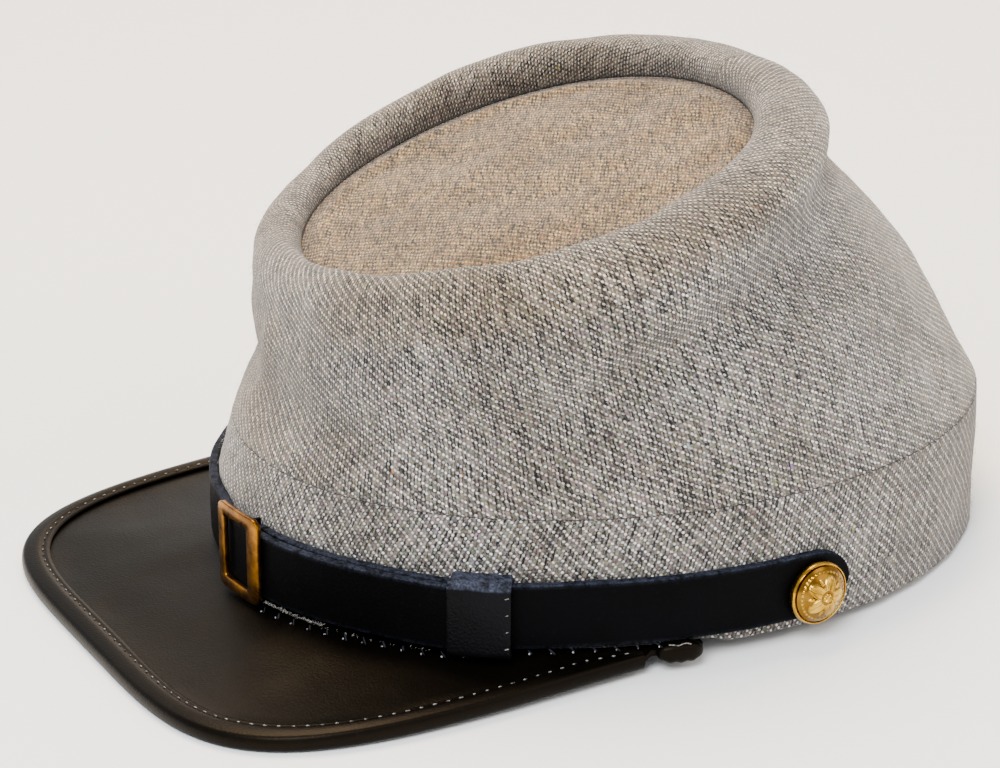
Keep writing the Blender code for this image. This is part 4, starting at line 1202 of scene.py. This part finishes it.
# lays small thread ellipsoids along a path, turned by its own directions
def stitchTree():
    tree, given, result = groupWith("stitches", (
        ("Pitch", "NodeSocketFloat", 0.003), ("Length", "NodeSocketFloat", 0.002),
        ("Thread", "NodeSocketFloat", 0.0004), ("Uneven", "NodeSocketFloat", 0.1),
        ("Seed", "NodeSocketInt", 0), ("Material", "NodeSocketMaterial", None)))
    curve = put(tree, "GeometryNodeMeshToCurve", {"Mesh": given.outputs["Geometry"]})
    spaced = put(tree, "GeometryNodeResampleCurve",
                 {"Curve": curve.outputs[0], "Length": given.outputs["Pitch"]}, mode="LENGTH")
    bead = put(tree, "GeometryNodeMeshUVSphere", {"Segments": 8, "Rings": 6, "Radius": 0.5})
    size = put(tree, "ShaderNodeCombineXYZ", {
        0: given.outputs["Length"], 1: given.outputs["Thread"], 2: given.outputs["Thread"]})
    shaped = put(tree, "GeometryNodeTransform", {"Geometry": bead.outputs["Mesh"], "Scale": size.outputs[0]})
    turned = put(tree, "FunctionNodeAxesToRotation", {
        "Primary Axis": namedVector(tree, "upward"), "Secondary Axis": namedVector(tree, "lay")})
    chance = put(tree, "FunctionNodeRandomValue", {
        "Min": (-1, -1, -1), "Max": (1, 1, 1), "Seed": given.outputs["Seed"]}, data_type="FLOAT_VECTOR")
    uneven = calcVector(tree, "SCALE", chance.outputs[0])
    tree.links.new(given.outputs["Uneven"], uneven.node.inputs["Scale"])
    scale = calcVector(tree, "ADD", uneven, (1, 1, 1))
    laid = put(tree, "GeometryNodeInstanceOnPoints", {
        "Points": spaced.outputs[0], "Instance": shaped.outputs[0],
        "Rotation": turned.outputs[0], "Scale": scale})
    finishTree(tree, given, result, laid.outputs[0])
    return tree


# gives a piece a tree's modifier, sets its inputs by their identifiers, and makes it plain
def addTree(piece, tree, values):
    modifier = piece.modifiers.new(tree.name, "NODES")
    modifier.node_group = tree
    for item in tree.interface.items_tree:
        if item.in_out == "INPUT" and item.name in values:
            modifier[item.identifier] = values[item.name]
    freeze(piece)
    return piece


stitches = stitchTree()


# a line of points with the directions that its stitches take
def pathPiece(name, points, upward, lay):
    mesh = bpy.data.meshes.new(name)
    points = np.asarray(points, dtype=float)
    count = len(points)
    mesh.from_pydata(points.tolist(), [(k, k + 1) for k in range(count - 1)], [])
    mesh.transform(standing)
    spin = np.array(standing.to_3x3())
    for label, vectors in (("upward", upward), ("lay", lay)):
        mark = mesh.attributes.new(label, "FLOAT_VECTOR", "POINT")
        turned = np.broadcast_to(vectors, (count, 3)) @ spin.T
        mark.data.foreach_set("vector", turned.astype(np.float32).ravel())
    piece = bpy.data.objects.new(name, mesh)
    bpy.context.scene.collection.objects.link(piece)
    return piece


def directions(points):
    along = np.gradient(points, axis=0)
    return along / np.linalg.norm(along, axis=1, keepdims=True)


def threadMaterial(name, pale, dark):
    material, tree, shader = newMaterial(name, {"Roughness": 0.8, "Specular IOR Level": 0.3})
    place = put(tree, "ShaderNodeTexCoord").outputs["Object"]
    tone = spread(tree, cloudy(tree, place, 1300, 2, 0.6), 0.35, 0.65)
    tree.links.new(mixed(tree, tone, colourOf(*dark), colourOf(*pale)), shader.inputs["Base Color"])
    addBump(tree, shader, cloudy(tree, place, 5000, 1, 0.5), 0.4, 0.0001)
    return material


greyThread = threadMaterial("greyThread", (134, 131, 128), (40, 38, 38))
paleThread = threadMaterial("paleThread", (150, 154, 160), (44, 47, 56))
darkThread = threadMaterial("darkThread", (20, 22, 30), (4, 4, 6))
fibrePale = threadMaterial("fibrePale", (176, 172, 164), (84, 80, 75))
fibreGrey = threadMaterial("fibreGrey", (190, 184, 176), (90, 84, 78))

seams = {
    "edgePitch": 0.0033, "edgeLength": 0.0010, "edgeThread": 0.00036,
    "whipPitch": 0.0051, "whipDot": 0.00056,
}


def sewPiece(name, path, values):
    piece = pathPiece(name, *path)
    addTree(piece, stitches, values)
    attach(piece, "root")
    return piece


# the row that holds the binding on
def edgeStitches():
    share = np.linspace(-0.965, 0.965, 400)
    reach = bindingReach(share)
    inset = reach * binding["stitchInset"] / peak["bindingWidth"]
    rise = gap + peak["binding"] + 0.0001
    points = onPeak(share, inset, rise)
    return sewPiece("edgeStitches", (points, (0, 0, 1), directions(points)), {
        "Pitch": seams["edgePitch"], "Length": seams["edgeLength"], "Thread": seams["edgeThread"],
        "Uneven": 0.25, "Seed": 4, "Material": greyThread})


whipPath = (
    # angle, distance out, height
    (9.5, 0.0086, 0.0016), (20, 0.0080, 0.0016), (30, 0.0070, 0.0016), (38, 0.0080, 0.0016),
    (49, 0.0050, 0.0024), (56, 0.0040, 0.0025), (62, 0.0036, 0.0026), (69, 0.0036, 0.0026),
)


# the overcast seam under the strap: pale knots, and the dark threads that slant up from them
def whipStitches():
    table = np.array(whipPath)

    def along(angle, lift=0.0):
        degrees = np.degrees(np.abs(angle))
        out, height = (np.interp(degrees, table[:, 0], table[:, k]) for k in (1, 2))
        return join(headOval(angle) + outward(angle) * out[:, None], height + lift)

    for name, start, stop in (("whipLeft", 11, 69), ("whipRight", -69, -44)):
        angle = np.radians(np.linspace(start, stop, 200))
        sewPiece(name + "Knots", (along(angle), (0, 0, 1), join(outward(angle), 0.0)), {
            "Pitch": seams["whipPitch"], "Length": seams["whipDot"], "Thread": seams["whipDot"] * 0.8,
            "Uneven": 0.4, "Seed": 9, "Material": paleThread})
        points = along(angle, 0.0001) - join(outward(angle), 0.0) * 0.0010
        slant = join(outward(angle), -0.25) + directions(points) * 0.8
        sewPiece(name + "Threads", (points, join(outward(angle) * 0.4, 1.0), slant), {
            "Pitch": seams["whipPitch"], "Length": 0.0022, "Thread": 0.00036, "Uneven": 0.5,
            "Seed": 2, "Material": darkThread})


# height of the plane that the peak's edge lies in
def peakLevel(plan):
    slope = math.sin(math.radians(peak["slope"]))
    return (plan[..., 1] + peak["middleForward"]) * slope + peak["leather"] / 2


# small stitches down the keeper's back edge
def keeperStitches():
    lap = float(longStandoff(keeperArc)) + strap["leather"] + gap + keeper["leather"]
    heights = np.linspace(strap["bottom"] + 0.002, strap["bottom"] + strap["width"] - 0.0015, 30)
    arc = keeperArc + keeper["width"] / 2 - 0.0008
    points = onBand(np.full_like(heights, arc), heights, lap + 0.00005)
    facing = outward(angleAt(arc))
    sewPiece("keeperStitches", (points, (*facing, 0.0), (-facing[1], facing[0], 0.3)), {
        "Pitch": 0.0042, "Length": 0.0011, "Thread": 0.00030, "Uneven": 0.2, "Seed": 6,
        "Material": greyThread})


# the loose threads that lie on the peak's two ends
def endThreads():
    for name, way in (("endThreadLeft", 1), ("endThreadRight", -1)):
        for k, (start, stop, height, out) in enumerate(((70.4, 75.6, 0.0038, 0.0026), (70.4, 73.8, 0.0030, 0.0045))):
            arcs = np.linspace(float(arcAt(math.radians(start))), float(arcAt(math.radians(stop))), 14) * way
            middle = onBand(arcs, np.full_like(arcs, height), np.full_like(arcs, out))
            middle[:, 2] += 0.0002 * np.sin(np.linspace(0, 9, 14) + k)
            rings = [[point + Vector((0, 0.00016 * math.cos(t), 0.00016 * math.sin(t)))
                      for t in np.linspace(0, 2 * math.pi, 7)[:-1]] for point in map(Vector, middle)]
            piece = loft(name + "AB"[k], np.array(rings))
            piece.data.materials.append(greyThread)
            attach(piece, "root")


edgeStitches()
whipStitches()
keeperStitches()
endThreads()

fuzz = {"crown": 60000, "band": 60000, "top": 45000, "length": 0.0021, "thread": 0.00006,
        "hem": 22000000, "hemLength": 0.0008, "hemThread": 0.00009}


# scatters short bent fibres over a surface, each lying along it in its own direction
def fibreTree():
    tree, given, result = groupWith("fibres", (
        ("Density", "NodeSocketFloat", 50000.0), ("Length", "NodeSocketFloat", 0.002),
        ("Thread", "NodeSocketFloat", 0.00006), ("Lift", "NodeSocketFloat", 0.4),
        ("Seed", "NodeSocketInt", 0), ("Material", "NodeSocketMaterial", None)))
    points = put(tree, "GeometryNodeDistributePointsOnFaces", {
        "Mesh": given.outputs["Geometry"], "Density": given.outputs["Density"],
        "Seed": given.outputs["Seed"]}, distribute_method="RANDOM")
    length = given.outputs["Length"]
    lift = calc(tree, "MULTIPLY", length, given.outputs["Lift"])
    middle = put(tree, "ShaderNodeCombineXYZ", {0: calc(tree, "MULTIPLY", length, 0.4), 2: lift})
    tip = put(tree, "ShaderNodeCombineXYZ", {
        0: calc(tree, "MULTIPLY", length, 0.8), 1: calc(tree, "MULTIPLY", length, 0.3),
        2: calc(tree, "MULTIPLY", lift, 0.8)})
    bend = put(tree, "GeometryNodeCurveQuadraticBezier", {
        "Resolution": 3, "Start": (0, 0, 0), "Middle": middle.outputs[0], "End": tip.outputs[0]})
    round3 = put(tree, "GeometryNodeCurvePrimitiveCircle", {
        "Resolution": 3, "Radius": calc(tree, "MULTIPLY", given.outputs["Thread"], 0.5)})
    hair = put(tree, "GeometryNodeCurveToMesh", {
        "Curve": bend.outputs[0], "Profile Curve": round3.outputs[0], "Fill Caps": True})
    spin = put(tree, "FunctionNodeRandomValue", {
        "Min": (-0.3, -0.3, 0), "Max": (0.3, 0.3, 2 * math.pi), "Seed": given.outputs["Seed"]},
        data_type="FLOAT_VECTOR")
    turned = put(tree, "FunctionNodeRotateRotation", {
        "Rotation": points.outputs["Rotation"], "Rotate By": spin.outputs[0]}, rotation_space="LOCAL")
    size = put(tree, "FunctionNodeRandomValue", {
        "Min": (0.4, 0.4, 0.3), "Max": (1.2, 1.2, 1.2), "Seed": given.outputs["Seed"]},
        data_type="FLOAT_VECTOR")
    grown = put(tree, "GeometryNodeInstanceOnPoints", {
        "Points": points.outputs["Points"], "Instance": hair.outputs[0],
        "Rotation": turned.outputs[0], "Scale": size.outputs[0]})
    finishTree(tree, given, result, grown.outputs[0])
    return tree


fibres = fibreTree()


# fibres on a surface given as a grid of points
def growFibres(name, grid, closed, values):
    piece = addPiece(name, grid, gridFaces(grid.shape[0], grid.shape[1], closed), sharp=None)
    addTree(piece, fibres, values)
    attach(piece, "root")
    return piece


for name, grid, density, seed in (("crownFuzz", crownOutside, fuzz["crown"], 3),
                                  ("bandFuzz", bandOutside, fuzz["band"], 5),
                                  ("topFuzz", topOutside, fuzz["top"], 7)):
    growFibres(name, grid, True, {
        "Density": float(density), "Length": fuzz["length"], "Thread": fuzz["thread"],
        "Lift": 0.45, "Seed": seed, "Material": fibreGrey})

# the cut hem that shows on the peak under the strap: angles, distance out, share of the full density
hems = (
    # name, from, to, out, wide, height, share
    ("hemFront", 9.5, 20.5, 0.0050, 0.0009, 0.0022, 0.45),
    ("hemMiddle", 20.5, 38.0, 0.0056, 0.0008, 0.0020, 0.05),
)
for name, start, stop, out, wide, height, share in hems:
    angle = np.radians(np.linspace(start, stop, 40))
    strip = np.stack([join(headOval(angle) + outward(angle) * reach, height)
                      for reach in (out + wide, out)], 1)
    growFibres(name, strip, False, {
        "Density": float(fuzz["hem"] * share), "Length": fuzz["hemLength"], "Thread": fuzz["hemThread"],
        "Lift": 0.5, "Seed": 11, "Material": fibrePale})

print("stitches made")


# floor, camera and lights
stage = {"size": 8.0, "floor": (250, 250, 250), "world": (0.94, 0.97, 1.0), "worldStrength": 1.15}


def makeStage():
    mesh = bpy.data.meshes.new("floor")
    far = stage["size"] / 2
    mesh.from_pydata([(-far, -far, 0), (far, -far, 0), (far, far, 0), (-far, far, 0)], [], [(0, 1, 2, 3)])
    floor = bpy.data.objects.new("floor", mesh)
    bpy.context.scene.collection.objects.link(floor)
    material, tree, shader = newMaterial("paleFloor", {"Roughness": 0.9})
    clouds = cloudy(tree, put(tree, "ShaderNodeTexCoord").outputs["Object"], 1.2)
    pale = colourOf(*stage["floor"])
    tree.links.new(mixed(tree, clouds, pale, tuple(c * 0.98 for c in pale)), shader.inputs["Base Color"])
    mesh.materials.append(material)
    world = bpy.data.worlds.new("studio")
    bpy.context.scene.world = world
    world.use_nodes = True
    background = world.node_tree.nodes["Background"]
    background.inputs["Color"].default_value = (*stage["world"], 1)
    background.inputs["Strength"].default_value = stage["worldStrength"]


def placeCamera():
    turned, raised = math.radians(view["azimuth"]), math.radians(view["elevation"])
    back = Vector((math.sin(turned) * math.cos(raised), -math.cos(turned) * math.cos(raised),
                   math.sin(raised)))
    right = Vector((math.cos(turned), math.sin(turned), 0))
    up = back.cross(right)
    place = Vector(view["target"]) + back * view["distance"]
    matrix = Matrix((right, up, back)).transposed().to_4x4()
    data = bpy.data.cameras.new("photoView")
    data.lens, data.sensor_width = view["lens"], 36
    data.clip_start, data.clip_end = 0.05, 50
    camera = bpy.data.objects.new("photoView", data)
    camera.matrix_world = standing @ Matrix.Translation(place) @ matrix
    bpy.context.scene.collection.objects.link(camera)
    bpy.context.scene.camera = camera


lamps = (
    # name, azimuth, elevation, distance, size, watts, colour
    ("key", 48, 45, 1.6, 0.8, 36, (0.93, 0.96, 1.0)),
    ("fill", 122, 32, 1.8, 1.2, 10, (1.0, 0.88, 0.74)),
    ("overhead", 256, 68, 1.5, 0.9, 44, (1.0, 0.79, 0.53)),
    ("behind", 238, 22, 1.8, 1.0, 7, (1.0, 0.72, 0.44)),
)


def placeLamps():
    for name, azimuth, elevation, distance, size, watts, colour in lamps:
        a, e = math.radians(azimuth), math.radians(elevation)
        back = Vector((math.sin(a) * math.cos(e), -math.cos(a) * math.cos(e), math.sin(e)))
        data = bpy.data.lights.new(name, "AREA")
        data.shape, data.size, data.energy, data.color = "DISK", size, watts, colour
        lamp = bpy.data.objects.new(name, data)
        lamp.location = Vector((0, 0, 0.06)) + back * distance
        lamp.rotation_euler = back.to_track_quat("Z", "Y").to_euler()
        bpy.context.scene.collection.objects.link(lamp)


makeStage()
placeCamera()
placeLamps()
print("studio made")
